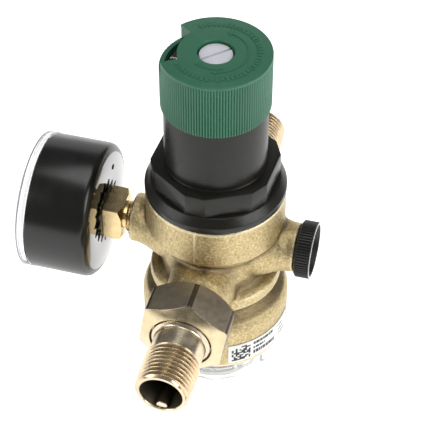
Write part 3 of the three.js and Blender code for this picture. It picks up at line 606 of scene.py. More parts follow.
def cast_cavity(x, y, z):
    """Signed distance to the hollow inside the casting."""
    from_axis = np.hypot(x, y)
    upper = solid_outline([
        (16.5, 2, 1), (17.5, 3.5), (17.5, 21.2), (23.6, 21.2), (23.6, CAST_TOP - PIPE + 3),
    ])
    lower = [
        (16.6, -7.5), (18.2, -7.5, 2), (21.5, -18), (21.5, -27), (23.7, -27), (23.7, CAST_BOTTOM - PIPE - 3),
        (-4, CAST_BOTTOM - PIPE - 3), (-4, -13.2), (16.6, -13.2),
    ]
    through = solid_outline([(13.4, -14), (13.4, 4)])
    hollow = outline_distance(upper, from_axis, z)
    hollow = np.minimum(hollow, outline_distance(lower, from_axis, z))
    hollow = np.minimum(hollow, outline_distance(through, from_axis, z))
    bore = solid_outline([(8, 24), (8, 50)])
    for along in (y, -y):
        hollow = np.minimum(hollow, outline_distance(bore, np.hypot(x, z), along))
    side = solid_outline([
        (4, 10), (4, 24), (6.8, 24), (6.8, SIDE_FACE - 1.7), (8.5, SIDE_FACE - 1.7), (8.5, SIDE_FACE + 3),
    ])
    for along in (x, -x):
        hollow = np.minimum(hollow, outline_distance(side, np.hypot(y, z - SIDE_HEIGHT), along))
    for end, rise in ((-1, -13), (1, 12)):
        start, stop = np.array([0, 30.0 * end, 0]), np.array([0, 15.0 * end, rise])
        run = stop - start
        px, py, pz = x - start[0], y - start[1], z - start[2]
        share = np.clip((px * run[0] + py * run[1] + pz * run[2]) / (run @ run), 0, 1)
        away = np.sqrt((px - share * run[0]) ** 2 + (py - share * run[1]) ** 2 + (pz - share * run[2]) ** 2)
        hollow = np.minimum(hollow, away - 4.8)
    return hollow


def sand_grain(shape):
    """Smooth random relief with about unit spread, from one cell to the next few."""
    grain = np.random.default_rng(3).standard_normal(shape, dtype=np.float32)
    for axis in range(3):
        grain = grain + np.roll(grain, 1, axis)
    return grain / grain.std()


def housing_casting():
    margin, port_reach = 2.0, 40.5
    seam_rise, seam_reach, grain_depth = 0.22, 12, 0.035
    lowest = np.array([-SIDE_FACE - margin, -port_reach, CAST_BOTTOM - PIPE - margin])
    highest = np.array([SIDE_FACE + margin, port_reach, CAST_TOP - PIPE + margin])
    axes = [np.arange(a, b, VOXEL, dtype=np.float32) for a, b in zip(lowest, highest)]
    x, y, z = np.meshgrid(*axes, indexing="ij")
    outside = cast_field(x, y, z)
    # the mould's parting line: a low rib round the body in the pipe's plane
    seam = np.clip(1.3 - np.abs(x) / 0.7, 0, 1) * seam_rise
    outside = outside - seam * (np.abs(y) > seam_reach)
    outside += grain_depth * sand_grain(outside.shape)
    field = np.maximum(outside, -cast_cavity(x, y, z))
    grid = openvdb.FloatGrid()
    grid.copyFromArray(np.ascontiguousarray(field, dtype=np.float64))
    points, quads = grid.convertToQuads(0.0)
    points = np.asarray(points, float) * VOXEL + lowest
    points[:, 2] += PIPE
    mesh = mesh_of("housing_cast", points, np.asarray(quads).tolist())
    obj = add_object("housing_cast", mesh, CAST_BRASS)
    smooth = obj.modifiers.new("smooth", "SMOOTH")
    smooth.factor = 0.5
    smooth.iterations = 3
    apply_modifiers(obj)
    mark_recesses(obj)
    shade(obj, 50)
    settle(obj, "cast_brass", "housing")


def parting_rib():
    """The fine flash line down the front of the upper cylinder, and the one behind, in paler brass as a
    painted highlight.
    """
    for name, angle in (("front", -92), ("rear", 88)):
        corners = wedge_corners(26.7, 27.05, angle - 0.55, angle + 0.55, 2)
        rib = bevelled(prism(f"parting_{name}", corners, PIPE + 19, CAST_TOP - 0.2, CAST_EDGE_HIGHLIGHT), 0.12, 40)
        settle(rib, "cast_brass")


def mesh_values(items, name, width, kind=float):
    values = np.empty(len(items) * width, kind)
    items.foreach_get(name, values)
    return values.reshape(-1, width)


def mark_recesses(obj):
    """Stores where the surface is hollow or proud: painted shade for the hollows, and pale wear for the proud
    ridges.
    """
    mesh = obj.data
    points = mesh_values(mesh.vertices, "co", 3) / MM
    normals = mesh_values(mesh.vertex_normals, "vector", 3, np.float32)
    edges = mesh_values(mesh.edges, "vertices", 2, np.int64)
    degree = np.bincount(edges.ravel(), minlength=len(points))
    spread = points.copy()
    for _ in range(30):
        total = np.zeros_like(spread)
        np.add.at(total, edges[:, 0], spread[edges[:, 1]])
        np.add.at(total, edges[:, 1], spread[edges[:, 0]])
        spread = total / np.maximum(degree, 1)[:, None]
    hollow = ((spread - points) * normals).sum(1)
    recess, worn = np.clip((hollow - 0.05) / 0.28, 0, 1), np.clip(-hollow / 0.5 - 0.5, 0, 1)
    from_axis = np.hypot(points[:, 0], points[:, 1])
    level = points[:, 2] - PIPE
    # painted shade in the two grooves beside the port: lower end, upper end, radius of the ridge
    for start, end, ridge in ((-17.6, -9.0, 28.8), (-4.8, 3.0, 25.6)):
        within = np.clip((level - start) / 1.5, 0, 1) * np.clip((end - level) / 1.5, 0, 1)
        groove = within * np.clip((ridge - from_axis) / 2.4, 0, 1) * (from_axis > 20)
        recess = np.maximum(recess, 0.8 * groove)
    # the turned lower rim: a band of painted highlight with a line of painted shadow below it, where the bowl
    # meets it
    rise = points[:, 2] - CAST_BOTTOM
    at_rim = from_axis > CAST_RADIUS - 0.7
    line, highlight_band = at_rim & (rise < 0.6), at_rim & (rise >= 0.6) & (rise < 1.6)
    worn[highlight_band], worn[line], recess[line] = 1.1, 0, 1.1
    for name, share in (("recess", recess), ("worn", worn)):
        layer = mesh.attributes.new(name, "FLOAT", "POINT")
        layer.data.foreach_set("value", (0.85 * share).astype(np.float32))


# ---------------------------------------------------------------- threads, knurls and small shapes
def helix_relief(start, end, pitch, depth, crest, edge=0.8):
    """Relief of a right-hand thread between two heights, on the outside of a turned piece."""
    flat = 0.06

    def relief(radius, along, angle):
        phase = (along / pitch - angle / (2 * math.pi)) % 1
        slope = np.clip(np.abs(2 * phase - 1) * (1 + 2 * flat) - flat, 0, 1)
        ridge = 0.5 - 0.5 * np.cos(slope * math.pi)
        fade = np.clip((along - start) / edge, 0, 1) * np.clip((end - along) / edge + 0.55, 0, 1)
        outside = radius > crest - depth - 0.15
        zone = (along >= start) & (along <= end) & outside
        return np.where(zone, radius - depth * (1 - ridge) * fade, radius)

    return relief


def rib_relief(count, depth, start, end, outer):
    """Relief of straight ribs along the axis, on the outside between two heights."""

    def relief(radius, along, angle):
        groove = (0.5 - 0.5 * np.cos(count * angle)) ** 2
        zone = (along >= start) & (along <= end) & (radius > outer - 0.01)
        return np.where(zone, radius - depth * groove, radius)

    return relief


def steps_between(radius, start, end, step):
    """Outline points at one radius from one height to another, close together."""
    count = max(1, round(abs(end - start) / step))
    return [(radius, start + (end - start) * k / count) for k in range(count + 1)]


def helix_tube(name, material, first, last, radius, heights, wire, sides=16, per_turn=48):
    """A wire wound about Z from one turn to another. heights gives its height for a number of turns."""
    count = math.ceil((last - first) * per_turn)
    rings = []
    for i in range(count + 1):
        t = first + (last - first) * i / count
        angle = 2 * math.pi * t
        centre = np.array([radius * math.cos(angle), radius * math.sin(angle), heights(t)])
        outward = np.array([math.cos(angle), math.sin(angle), 0])
        rings.append([
            centre + wire * (math.cos(a) * outward + math.sin(a) * UP)
            for a in (2 * math.pi * k / sides for k in range(sides))
        ])
    return swept(name, rings, material)


def filleted_polygon(sides, flats, first_corner, fillet, steps=3):
    """A polygon of that width across its flats, each corner an arc."""
    corner = flats / 2 / math.cos(math.pi / sides)
    corners = [(*polar(corner, first_corner + 360 * i / sides), fillet) for i in range(sides)]
    return [tuple(p) for p in rounded(corners, steps)]


def o_ring(name, inner, thickness, middle, node, **settings):
    half = thickness / 2
    turns = [2 * math.pi * k / 16 for k in range(16)]
    section = [(inner + half + half * math.cos(a), middle + half * math.sin(a)) for a in turns]
    settle(turned(name, section, RUBBER, sides=72, **settings), "rubber", node)


# ---------------------------------------------------------------- bonnet, knob and spindle
def bonnet():
    base, top = low("bonnet")[2], high("bonnet")[2]
    flange, hex_low, hex_high = base + 8, base + 13.7, base + 22.7
    step = top - 7.6
    bore, barrel, neck = 16.2, 19.3, 17.8
    obj = add_object("bonnet_shell", turned_mesh("bonnet_shell", [
        (bore, base), (23.2, base, 0.4), (23.2, flange), (27, flange, 0.3), (27, flange + 2.7, 0.5),
        (24.5, hex_low, 1.0), (20.4, hex_low + 0.2, 0.3), (20.4, hex_high - 0.8),
        (barrel, hex_high + 0.3, 1.2), (barrel - 0.1, step, 0.3), (neck, step), (neck, top, 0.4),
        (4.3, top), (4.3, top - 4), (bore, top - 4),
    ], sides=160), GREY_PLASTIC)
    # the hexagon's corners are cut short, so each is a pair of points
    flat, corner, first_corner = 22.75, 24.4, 266.5
    half = 30 - math.degrees(math.acos(flat / corner))
    corners = [
        (*polar(corner, first_corner + 60 * i + turn), 0.5) for i in range(6) for turn in (-half, half)
    ]
    hexagon = [tuple(p) for p in rounded(corners, 2)]
    collar = prism("collar", hexagon, hex_low - 0.4, hex_high, GREY_PLASTIC)
    cut(collar, rod_mesh(18, hex_low - 2, hex_high + 2))
    bevelled(collar, 0.45, 40)
    combine(obj, collar)
    for side in (-1, 1):
        near, far = sorted((15.5 * side, 17.6 * side))
        cut(obj, prism_mesh("keyway", box_corners(near, -2.3, far, 2.3), base - 1, step - 0.2))
    shade(obj, 30)
    settle(obj, "grey_plastic", "bonnet")


def knob():
    bottom, top = low("knob")[2], high("knob")[2]
    radius = radius_of("knob")
    roof, sill = bottom + 15.9, bottom + 16.5
    hub, hub_bottom = 13.9, high("bonnet")[2] + 0.6
    screw_hole, screw_floor = 6.65, low("lock_screw")[2] + 8.9
    rim = top - 0.95
    ribs = 124
    outline = [
        (2.2, hub_bottom), (hub, hub_bottom, 0.3), (hub, roof), (18.25, roof), (18.25, bottom),
        (radius, bottom), (radius, rim - 0.5), (radius, rim), (radius, top, 0.85),
        (screw_hole + 0.25, top), (screw_hole, top - 0.25), (screw_hole, screw_floor), (2.2, screw_floor),
    ]
    relief = rib_relief(ribs, 0.5, bottom - 1, rim - 0.3, radius)
    mesh = turned_mesh("knob_cap", outline, sides=ribs * 6, relief=relief)
    obj = add_object("knob_cap", mesh, GREEN_PLASTIC)
    cut(
        obj,
        prism_mesh("square", box_corners(-3.8, -3.8, 3.8, 3.8), hub_bottom - 2, hub_bottom + 8.7),
        prism_mesh("window_floor", wedge_corners(13.75, 18.4, 144.4, 211.6), roof - 1, sill + 1),
        prism_mesh("window", wedge_corners(13.7, radius + 2, 144, 212), sill, top + 1),
    )
    shade(obj, 35)
    settle(obj, "green_plastic", "knob", body="knob_body")


def knob_marks():
    """Raised generic marks on the knob's top: an arrow for both ways, ticks and short dashes."""
    base = high("knob")[2] - 0.05
    end, line = 75, 11.6
    shapes = [wedge_corners(line - 0.3, line + 0.3, -end, end)]
    for way in (-1, 1):
        tip, base_angle = polar(line, way * (end + 9)), way * end
        shapes.append([tip, polar(line - 1.1, base_angle), polar(line + 1.1, base_angle)])
    pick = random.Random(7)
    angle = -140.0
    while angle < 128:
        width = pick.uniform(2.2, 5.5)
        shapes.append(wedge_corners(14.6, 16.2 + pick.choice((0, 0.5)), angle, angle + width, 3))
        angle += width + pick.uniform(1.8, 3.0)
    angle = 238.0
    while angle < 300:
        width = pick.uniform(4, 8)
        shapes.append(wedge_corners(9.0, 10.2, angle, angle + width, 3))
        angle += width + 3
    obj = add_object("knob_marks", prisms_mesh("knob_marks", shapes, base, base + 0.25), GREEN_PLASTIC)
    settle(obj, "green_plastic", body="knob_body")


def lock_screw():
    bottom, top = low("lock_screw")[2], high("lock_screw")[2]
    head, shank, slot_angle = 6.1, 1.9, math.degrees(0.77)
    obj = turned("lock_screw_head", [
        (0, bottom), (shank, bottom, 0.3), (shank, top - 2.5), (head, top - 2.5, 0.2), (head, top, 0.35),
        (0, top),
    ], ZINC, sides=96)
    slot = turned_corners(box_corners(-7, -0.5, 7, 0.5), slot_angle)
    # the slot is cut with a piece in painted shade
    cut(obj, prism("slot", slot, top - 1.5, top + 1, SLOT_SHADE))
    shade(obj, 30)
    settle(obj, "zinc_steel", "lock_screw", body="lock_screw_body")


def adjusting_spindle():
    bottom, top = low("adjusting_spindle")[2], high("adjusting_spindle")[2]
    radius, flats = 4.0, 7
    collar = low("bonnet")[2] + 50.2
    square = high("bonnet")[2] + 0.4
    threaded = steps_between(radius, bottom + 0.6, collar - 6, 0.2)
    obj = turned("spindle", [
        (0, bottom), (3.4, bottom), *threaded, (3.9, collar), (7, collar, 0.3), (7, collar + 2.2, 0.3),
        (radius, collar + 2.2), (radius, square), (0, square),
    ], TURNED_BRASS, sides=64, relief=helix_relief(bottom, collar - 6, 2.2, 0.45, radius))
    combine(obj, prism_mesh("square_end", filleted_polygon(4, flats, 45, 0.5), square - 0.05, top))
    cut(obj, rod_mesh(2.2, top - 7.5, top + 1, sides=32))
    shade(obj, 35)
    settle(obj, "turned_brass", "adjusting_spindle", body="knob_body")


def setting_scale():
    """The black scale ring behind the knob's window, with its ticks and numbers."""
    bottom, top = low("setting_scale")[2], high("setting_scale")[2]
    inner, edge, outer = 14.3, 17.0, 17.7
    obj = turned("scale_ring", [
        (inner, bottom), (outer, bottom, 0.2), (outer, top - 0.7, 0.1), (edge, top, 0.1), (inner, top, 0.1),
    ], BLACK_PLASTIC, sides=120)
    settle(obj, "black_plastic", "setting_scale")
    ticks = []
    for i in range(72):
        half = 0.8 if i % 6 == 0 else 0.5
        corners = ((edge + 0.05, -half), (outer - 0.1, -half), (outer - 0.1, half), (edge + 0.05, half))
        ticks.append([(*polar(r, 5 * i + turn), top - (r - edge) + PRINT_GAP) for r, turn in corners])
    settle(printed("scale_marks", ticks, WHITE_PLASTIC), "white_plastic")
    for i in range(12):
        out = np.array([*polar(1, 30 * i + 26), 0])
        place, value = out * 15.7 + UP * (top + PRINT_GAP), 1 + (i + 3) % 6
        number(f"scale_number_{i}", value, 3.4, place, np.cross(out, UP), out, WHITE_PLASTIC, "white_plastic")


def number(name, value, size, place, right, up, material, slot):
    """A printed number lying in the plane of its right and up directions."""
    text = bpy.data.curves.new(name, "FONT")
    text.body = str(value)
    text.size = size * MM
    text.align_x = text.align_y = "CENTER"
    obj = bpy.data.objects.new(name, text)
    bpy.context.scene.collection.objects.link(obj)
    bpy.context.view_layer.update()
    mesh = bpy.data.meshes.new_from_object(obj)
    bpy.data.objects.remove(obj)
    mesh.transform(placing(right, up, place))
    settle(add_object(name, mesh, material), slot)


# ---------------------------------------------------------------- unions
TAIL_END = high("union_tail_rear")[1]
NUT_BACK = low("union_nut_rear")[1]
NUT_FRONT = high("union_nut_rear")[1]


def faces_round_pipe(obj, outward):
    """Each face, its distance from the pipe's axis and along it, and how squarely it faces along it."""
    for face in obj.data.polygons:
        x, y, z = np.array(face.center) / MM - PIPE_CENTRE
        yield face, math.hypot(x, z), abs(y), abs(face.normal @ Vector(outward))


def union_nut(end, outward):
    """A hexagon nut: dull forged flats, rounded corners in painted shade, turned ends, and the wall of its
    hole in painted shade.
    """
    flats, corner_angle, crest = 32, 21, 13.6
    corner = flats / 2 / math.cos(math.radians(30))
    placed = {"outward": outward, "height": PIPE}
    hexagon = filleted_polygon(6, flats, corner_angle, 1.9, 2)
    obj = prism(f"nut_{end}", hexagon, NUT_BACK, NUT_FRONT, NUT_FLAT, **placed)
    combine(obj, turned_mesh("dome", [
        (0, NUT_BACK), (15.4, NUT_BACK), (corner + 0.3, NUT_BACK + 3.0), (corner + 0.3, NUT_FRONT - 3.5),
        (12.7, NUT_FRONT, 0.3), (0, NUT_FRONT),
    ], sides=144, **placed), "INTERSECT")
    lip = NUT_FRONT - 1.9
    threaded = steps_between(crest, NUT_BACK + 1, lip - 2.5, 0.3)
    cut(obj, turned_mesh("bore", [
        (0, NUT_BACK - 1), (14.4, NUT_BACK - 1), (14.4, NUT_BACK + 0.4), *threaded,
        (13.9, lip - 2), (13.9, lip), (12.1, lip), (12.1, NUT_FRONT - 0.1), (12.3, NUT_FRONT + 0.1),
        (12.3, NUT_FRONT + 1), (0, NUT_FRONT + 1),
    ], sides=96, **placed))
    finishes(obj, NUT_FLAT, NUT_FACE, NUT_CORNER_SHADE, BORE_SHADE)
    flat, turned_face, shaded_corner, hole = range(4)
    side = np.cross(UP, outward)
    # the corner rounds and the hole's wall take painted shade
    for face, across, _, facing in faces_round_pipe(obj, outward):
        turn = math.degrees(math.atan2(face.normal.z, face.normal @ Vector(side))) - corner_angle - 30
        if across < 12.7 and facing < 0.5:
            face.material_index = hole
        elif facing > 0.12 or across < 15:
            face.material_index = turned_face
        else:
            face.material_index = shaded_corner if abs((turn + 30) % 60 - 30) > 4 else flat
    bevelled(obj, 0.18, 25)
    settle(obj, "nut_brass", f"union_nut_{end}", body=f"{end}_nut_body")


def union_tail(end, outward):
    """A threaded tail. Its thread tapers, and its depth tells the roots, in painted shade, from the crests.
    Its bore is in painted shade too.
    """
    depth, start, crest, taper = 1.162, 60.0, 10.48, 1 / 32
    gauge_plane = TAIL_END - 8.2
    placed = {"outward": outward, "height": PIPE}
    heights = [h for _, h in steps_between(0, start + 0.4, TAIL_END - 0.9, 0.13)]
    thread = [(crest + (gauge_plane - h) * taper, h) for h in heights]
    obj = add_object(f"tail_{end}", turned_mesh(f"tail_{end}", [
        (PIPE_BORE, 45.9), (12.7, 45.9, 0.3), (12.7, 48.3, 0.3), (11.4, 48.3), (11.4, 50.3, 0.3),
        (10.0, 51.0, 1), (9.85, start - 0.8, 0.3), (9.4, start - 0.4), *thread, (9.35, TAIL_END, 0.15),
        (8.3, TAIL_END, 0.12), (PIPE_BORE, TAIL_END - 0.4),
    ], sides=120, relief=helix_relief(start, TAIL_END - 0.5, PIPE_PITCH, depth, crest), **placed), PIPE_BRASS)
    # the lug low in the bore, by which a key turns the tail
    lug_end = TAIL_END - 0.7
    lug = turned_mesh("lug", [(0, 66), (2.2, 66), (2.2, lug_end, 0.4), (0, lug_end)], sides=40)
    lug.transform(placing(np.cross(UP, outward), UP, (0, 0, PIPE - 7.2)))
    lug = add_object("lug", lug, PIPE_BRASS)
    combine(obj, combine(lug, rod_mesh(8.6, 60, TAIL_END, **placed), "INTERSECT"))
    finishes(obj, PIPE_BRASS, THREAD_BRASS, BORE_SHADE, ROOT_SHADE)
    plain, crests, bore, shaded_roots = range(4)
    # the thread roots and the bore take painted shade
    for face, across, along, facing in faces_round_pipe(obj, outward):
        if along > start - 0.5 and across > 8.9:
            deep = across < crest + (gauge_plane - along) * taper - 0.8 * depth
            face.material_index = shaded_roots if deep else crests
        else:
            face.material_index = bore if across < 8.25 and facing < 0.5 else plain
    shade(obj, 38)
    settle(obj, "thread_brass", f"union_tail_{end}")


def union_gasket(end, outward):
    outline = ring_outline(8.3, 12.6, 44, 45.6)
    obj = turned(f"gasket_{end}", outline, FIBRE, outward=outward, height=PIPE)
    settle(obj, "fibre", f"union_gasket_{end}")


def port_thread(end, outward):
    crest = 13.2
    obj = turned(f"port_thread_{end}", [
        (11.7, 35.4), *steps_between(crest, 36, PORT_END - 1, 0.15), (12.1, PORT_END, 0.15),
        (PIPE_BORE, PORT_END, 0.1), (PIPE_BORE, 39.6), (11.7, 39.6),
    ], PIPE_BRASS, sides=120, outward=outward, height=PIPE,
        relief=helix_relief(35.6, PORT_END, PIPE_PITCH, 1.0, crest))
    settle(obj, "cast_brass", "housing")


def unions():
    for end, outward in (("front", FRONT), ("rear", REAR)):
        union_nut(end, outward)
        union_tail(end, outward)
        union_gasket(end, outward)
        port_thread(end, outward)


# ---------------------------------------------------------------- blanking plug and label
def blanking_plug():
    inner, end = low("blanking_plug")[0], high("blanking_plug")[0]
    face = inner + 8.3
    ribs, crest = 62, 11.2
    placed = {"outward": RIGHT, "height": GAUGE_HEIGHT}
    obj = turned("plug_head", [
        (0, face), (10.2, face, 0.2), (10.8, face + 0.5), (crest, face + 0.75),
        (crest, face + 0.8), (crest, end - 0.35), (crest, end - 0.3), (crest - 0.1, end - 0.1),
        (crest - 0.35, end, 0.08), (10.25, end, 0.1), (9.9, end - 2.6, 0.4), (0, end - 2.6),
    ], BLACK_PLASTIC, sides=ribs * 8, relief=rib_relief(ribs, 0.5, face + 0.78, end - 0.25, crest), **placed)
    settle(obj, "black_plastic", "blanking_plug")
    thread_start = inner + 0.4
    thread = steps_between(SIDE_CREST, thread_start, face - 0.2, 0.12)
    relief = helix_relief(thread_start, face - 1.4, SIDE_PITCH, 0.8, SIDE_CREST)
    stub = turned("plug_stub", [
        (0, inner), (5.9, inner), *thread, (6.2, face + 0.2), (0, face + 0.2),
    ], BLACK_PLASTIC, sides=72, relief=relief, **placed)
    settle(stub, "black_plastic", "blanking_plug")
    # a thin pale ring on the rim: painted highlight
    edge = turned("plug_edge", [
        (crest - 0.12, end - 0.25), (crest - 0.18, end + 0.02), (crest - 0.32, end + 0.05),
        (10.3, end + 0.05), (10.2, end - 0.1),
    ], EDGE_HIGHLIGHT, sides=160, **placed)
    settle(edge, "black_plastic")
    o_ring("plug_seal_ring", 6.75, 1.4, 32.3, "plug_oring", **placed)


def curved_patch(radius, start, end, bottom, top):
    """Quads bent round the valve, between two angles and two heights."""
    steps = max(1, round((end - start) / 2))
    edges = [polar(radius, start + (end - start) * i / steps) for i in range(steps + 1)]
    return [
        [(*a, bottom), (*b, bottom), (*b, top), (*a, top)] for a, b in zip(edges, edges[1:])
    ]


def label():
    """The rating label, printed with a meaningless block pattern and rows of bars."""
    bottom, top = low("label")[2], high("label")[2]
    radius = CAST_RADIUS + 0.1
    corners = wedge_corners(radius, radius + 0.18, -65, 0, 48)
    sheet = bevelled(prism("label_film", corners, bottom, top, LABEL_FILM), 0.06, 40)
    settle(sheet, "label_film", "label")
    pick = random.Random(11)
    shapes = []

    def printed_patch(start, end, floor, ceiling):
        shapes.extend(curved_patch(radius + 0.2, start, end, floor, ceiling))

    def bars(start, end, line, thick, widths, gap):
        angle = start
        while angle < end:
            width = pick.uniform(*widths)
            printed_patch(angle, min(angle + width, end), line - thick / 2, line + thick / 2)
            angle += width + gap()

    cells, size = 10, 0.80
    turn = math.degrees(size / radius)
    for i in range(cells):
        for j in range(cells):
            if pick.random() < 0.52:
                start, floor = -62.3 + i * turn, bottom + 1.0 + j * size
                printed_patch(start, start + turn, floor, floor + size)
    for row, (end, thick) in enumerate(((-24, 1.5), (-33, 1.2), (-22, 1.9))):
        bars(-44, end, top - 2.0 - 2.6 * row, thick, (1.2, 3.4), lambda: pick.uniform(0.35, 0.6))
    for start, end, line in ((-17, -10, top - 2.6), (-16, -9, top - 5.2), (-15, -4, top - 7.6)):
        bars(start, end, line, 0.8, (0.8, 2.4), lambda: 0.7)
    settle(printed("label_print", shapes, PRINT_BLACK), "label_film")


# ---------------------------------------------------------------- pressure gauge
GAUGE_BACK = -high("gauge_case")[0]
GAUGE_FRONT = -low("gauge_case")[0]
WINDOW_FRONT = -low("gauge_window")[0]
GAUGE_RADIUS = radius_of("gauge_case")
ON_GAUGE = {"outward": LEFT, "height": GAUGE_HEIGHT}
POINTER_ZERO = 225


def gauge_case():
    outer, back, front, wall = GAUGE_RADIUS, GAUGE_BACK, GAUGE_FRONT, 1.2
    obj = turned("gauge_shell", [
        (6.1, back, 0.1), (outer, back, 3.2), (outer, front - 0.6), (outer, front, 0.25),
        (outer - wall, front), (outer - wall, back + wall, 2.4), (6.1, back + wall),
    ], GAUGE_BLACK, sides=192, **ON_GAUGE)
    obj.data.materials.append(GAUGE_PLATE)
    for face in obj.data.polygons:
        face.material_index = 1 if face.normal.x > 0.99 else 0
    settle(obj, "gauge_enamel", "gauge_case")
    vent = turned("gauge_vent", [(0, 0), (1.1, 0, 0.1), (1.1, 0.35, 0.1), (0, 0.35)], RUBBER, sides=32)
    vent.data.transform(placing(np.cross(UP, LEFT), UP, on_dial([polar(17.6, 128)], back - 0.2)[0]))
    settle(vent, "rubber")


def gauge_window():
    radius, front, inner = radius_of("gauge_window"), WINDOW_FRONT, 24.3
    obj = turned("gauge_glass", [
        (0, front - 1.6), (inner, front - 1.6, 0.4), (inner, front - 6, 0.2), (inner + 1.1, front - 6, 0.2),
        (inner + 1.1, GAUGE_FRONT + 0.1), (radius, GAUGE_FRONT + 0.1, 0.15), (radius, front, 0.8), (0, front),
    ], CLEAR, sides=192, **ON_GAUGE)
    settle(obj, "clear_plastic", "gauge_window")
    # a thin grey ring round the rim: painted shade
    outline = ring_outline(radius - 0.1, radius + 0.07, front - 1.15, front - 0.7, 0)
    edge = turned("gauge_glass_edge", outline, WINDOW_EDGE_SHADE, sides=192, **ON_GAUGE)
    settle(edge, "clear_plastic")


def on_dial(points, level):
    """Flat dial shapes, right and up as seen by the reader, at a distance from the valve's axis."""
    return stood([(x, y, level) for x, y in points], LEFT, GAUGE_HEIGHT)


def gauge_dial():
    level = -low("gauge_dial")[0]
    plate, scale, numbers = 24.8, 21.3, 14.6
    obj = turned("dial_plate", [
        (1.8, level - 0.7), (plate, level - 0.7, 0.1), (plate, level, 0.1), (1.8, level),
    ], DIAL_WHITE, sides=144, **ON_GAUGE)
    settle(obj, "dial_enamel", "gauge_dial")
    printing = level + PRINT_GAP
    divisions, line_steps, sweep, zero = 50, 72, 270, POINTER_ZERO
    shapes = []

    def patch(inner, outer, start, end):
        shapes.append([polar(inner, start), polar(outer, start), polar(outer, end), polar(inner, end)])

    for i in range(divisions + 1):
        angle = zero - sweep * i / divisions
        inner = 18.0 if i % 10 == 0 else 18.9 if i % 5 == 0 else 19.6
        half = 0.9 if i % 10 == 0 else 0.5
        patch(inner, scale, angle - half, angle + half)
    for i in range(line_steps):
        patch(scale, scale + 0.25, zero - sweep * (i + 1) / line_steps, zero - sweep * i / line_steps)
    marks = printed("dial_marks", [on_dial(shape, printing) for shape in shapes], PRINT_BLACK)
    settle(marks, "pointer_black")
    for i in range(6):
        place = on_dial([polar(numbers, zero - sweep * i / 5)], printing)[0]
        number(f"dial_number_{i}", 2 * i, 4.6, place, np.cross(UP, LEFT), UP, PRINT_BLACK, "pointer_black")


def gauge_pointer():
    level = -low("gauge_pointer")[0] - 0.35
    upper = [(-7.4, 1.5), (-7.0, 1.9), (-5.6, 1.6), (0, 0.85), (17.2, 0.5)]
    outline = [(x, -y) for x, y in upper] + [(19.4, 0)] + upper[::-1]
    corners = turned_corners(outline, POINTER_ZERO)
    obj = prism("pointer_needle", corners, level - 0.6, level - 0.1, POINTER_BLACK, **ON_GAUGE)
    combine(obj, turned_mesh("hub", [
        (0, level - 0.8), (2.7, level - 0.8, 0.1), (2.7, level + 0.3, 0.3), (0, level + 0.3),
    ], sides=48, **ON_GAUGE))
    cut(obj, rod_mesh(1.05, level - 2, level + 2, sides=32, **ON_GAUGE))
    bevelled(obj, 0.08, 40)
    settle(obj, "pointer_black", "gauge_pointer", body="pointer_body")


def gauge_socket():
    """The threaded stub, the square block, the neck through the case and the tube's carrier."""
    flange, block_end, plate = -high("gauge_socket")[0], 36.5, 44.0
    thread_end = block_end - 1.0
    obj = prism("socket_block", filleted_polygon(4, 15, 45, 0.5, 2), block_end, plate, SIDE_BRASS, **ON_GAUGE)
    combine(obj, turned_mesh("dome", [
        (0, block_end), (8.3, block_end), (11.2, block_end + 1.7), (11.2, plate - 0.6), (9.9, plate),
        (0, plate),
    ], sides=96, **ON_GAUGE), "INTERSECT")
    thread = steps_between(SIDE_CREST, flange + 0.5, block_end - 1.6, 0.12)
    combine(obj, turned_mesh("stub", [
        (0, flange), (5.9, flange, 0.1), *thread, (5.6, thread_end), (5.6, block_end + 0.5),
        (0, block_end + 0.5),
    ], sides=96, relief=helix_relief(flange, thread_end, SIDE_PITCH, 0.85, SIDE_CREST), **ON_GAUGE))
    combine(obj, rod_mesh(5.7, plate - 1, plate + 4, sides=64, **ON_GAUGE))
    combine(obj, prism_mesh("carrier", box_corners(-4.6, -17.4, 4.6, 5), plate + 2.8, plate + 9, **ON_GAUGE))
    cut(obj, rod_mesh(2.2, flange - 1, plate + 6, sides=48, **ON_GAUGE))
    bevelled(obj, 0.12, 35)
    settle(obj, "turned_brass", "gauge_socket")
    o_ring("gauge_seal_ring", 6.75, 1.4, 32.3, "gauge_seal", **ON_GAUGE)


def star_washer():
    """The toothed lock washer behind the gauge."""
    teeth, root, tip, level = 15, 9.9, 12.7, 44.15
    corners = []
    for i in range(teeth):
        angle = 360 * i / teeth + 6
        corners += [polar(root, angle - 8.0), polar(tip, angle), polar(root, angle + 8.0)]
    obj = prism("star_washer", corners, level, level + 0.4, WASHER_BLACK, **ON_GAUGE)
    cut(obj, rod_mesh(6.1, level - 1, level + 2, sides=64, **ON_GAUGE))
    bevelled(obj, 0.06, 40)
    settle(obj, "washer_black", "gauge_star_washer")


def bourdon_tube():
    """A flattened tube bent round the dial, open into the socket and closed at its tip."""
    radius, middle, half_width, half_length = 19.5, 51.0, 1.0, 2.4
    start, sweep, count, sides = 270, 305, 96, 20
    section = []
    for k in range(sides):
        c, s = polar(1, 360 * k / sides)
        out, along = abs(c) ** 0.8, abs(s) ** 0.6
        section.append((half_width * math.copysign(out, c), half_length * math.copysign(along, s)))
    rings = []
    for i in range(count + 1):
        angle = start - sweep * i / count
        rings.append([(*polar(radius + out, angle), middle + along) for out, along in section])
    obj = swept("bourdon", stood(rings, LEFT, GAUGE_HEIGHT), BOURDON, 50)
    settle(obj, "bourdon_brass", "gauge_bourdon_tube")


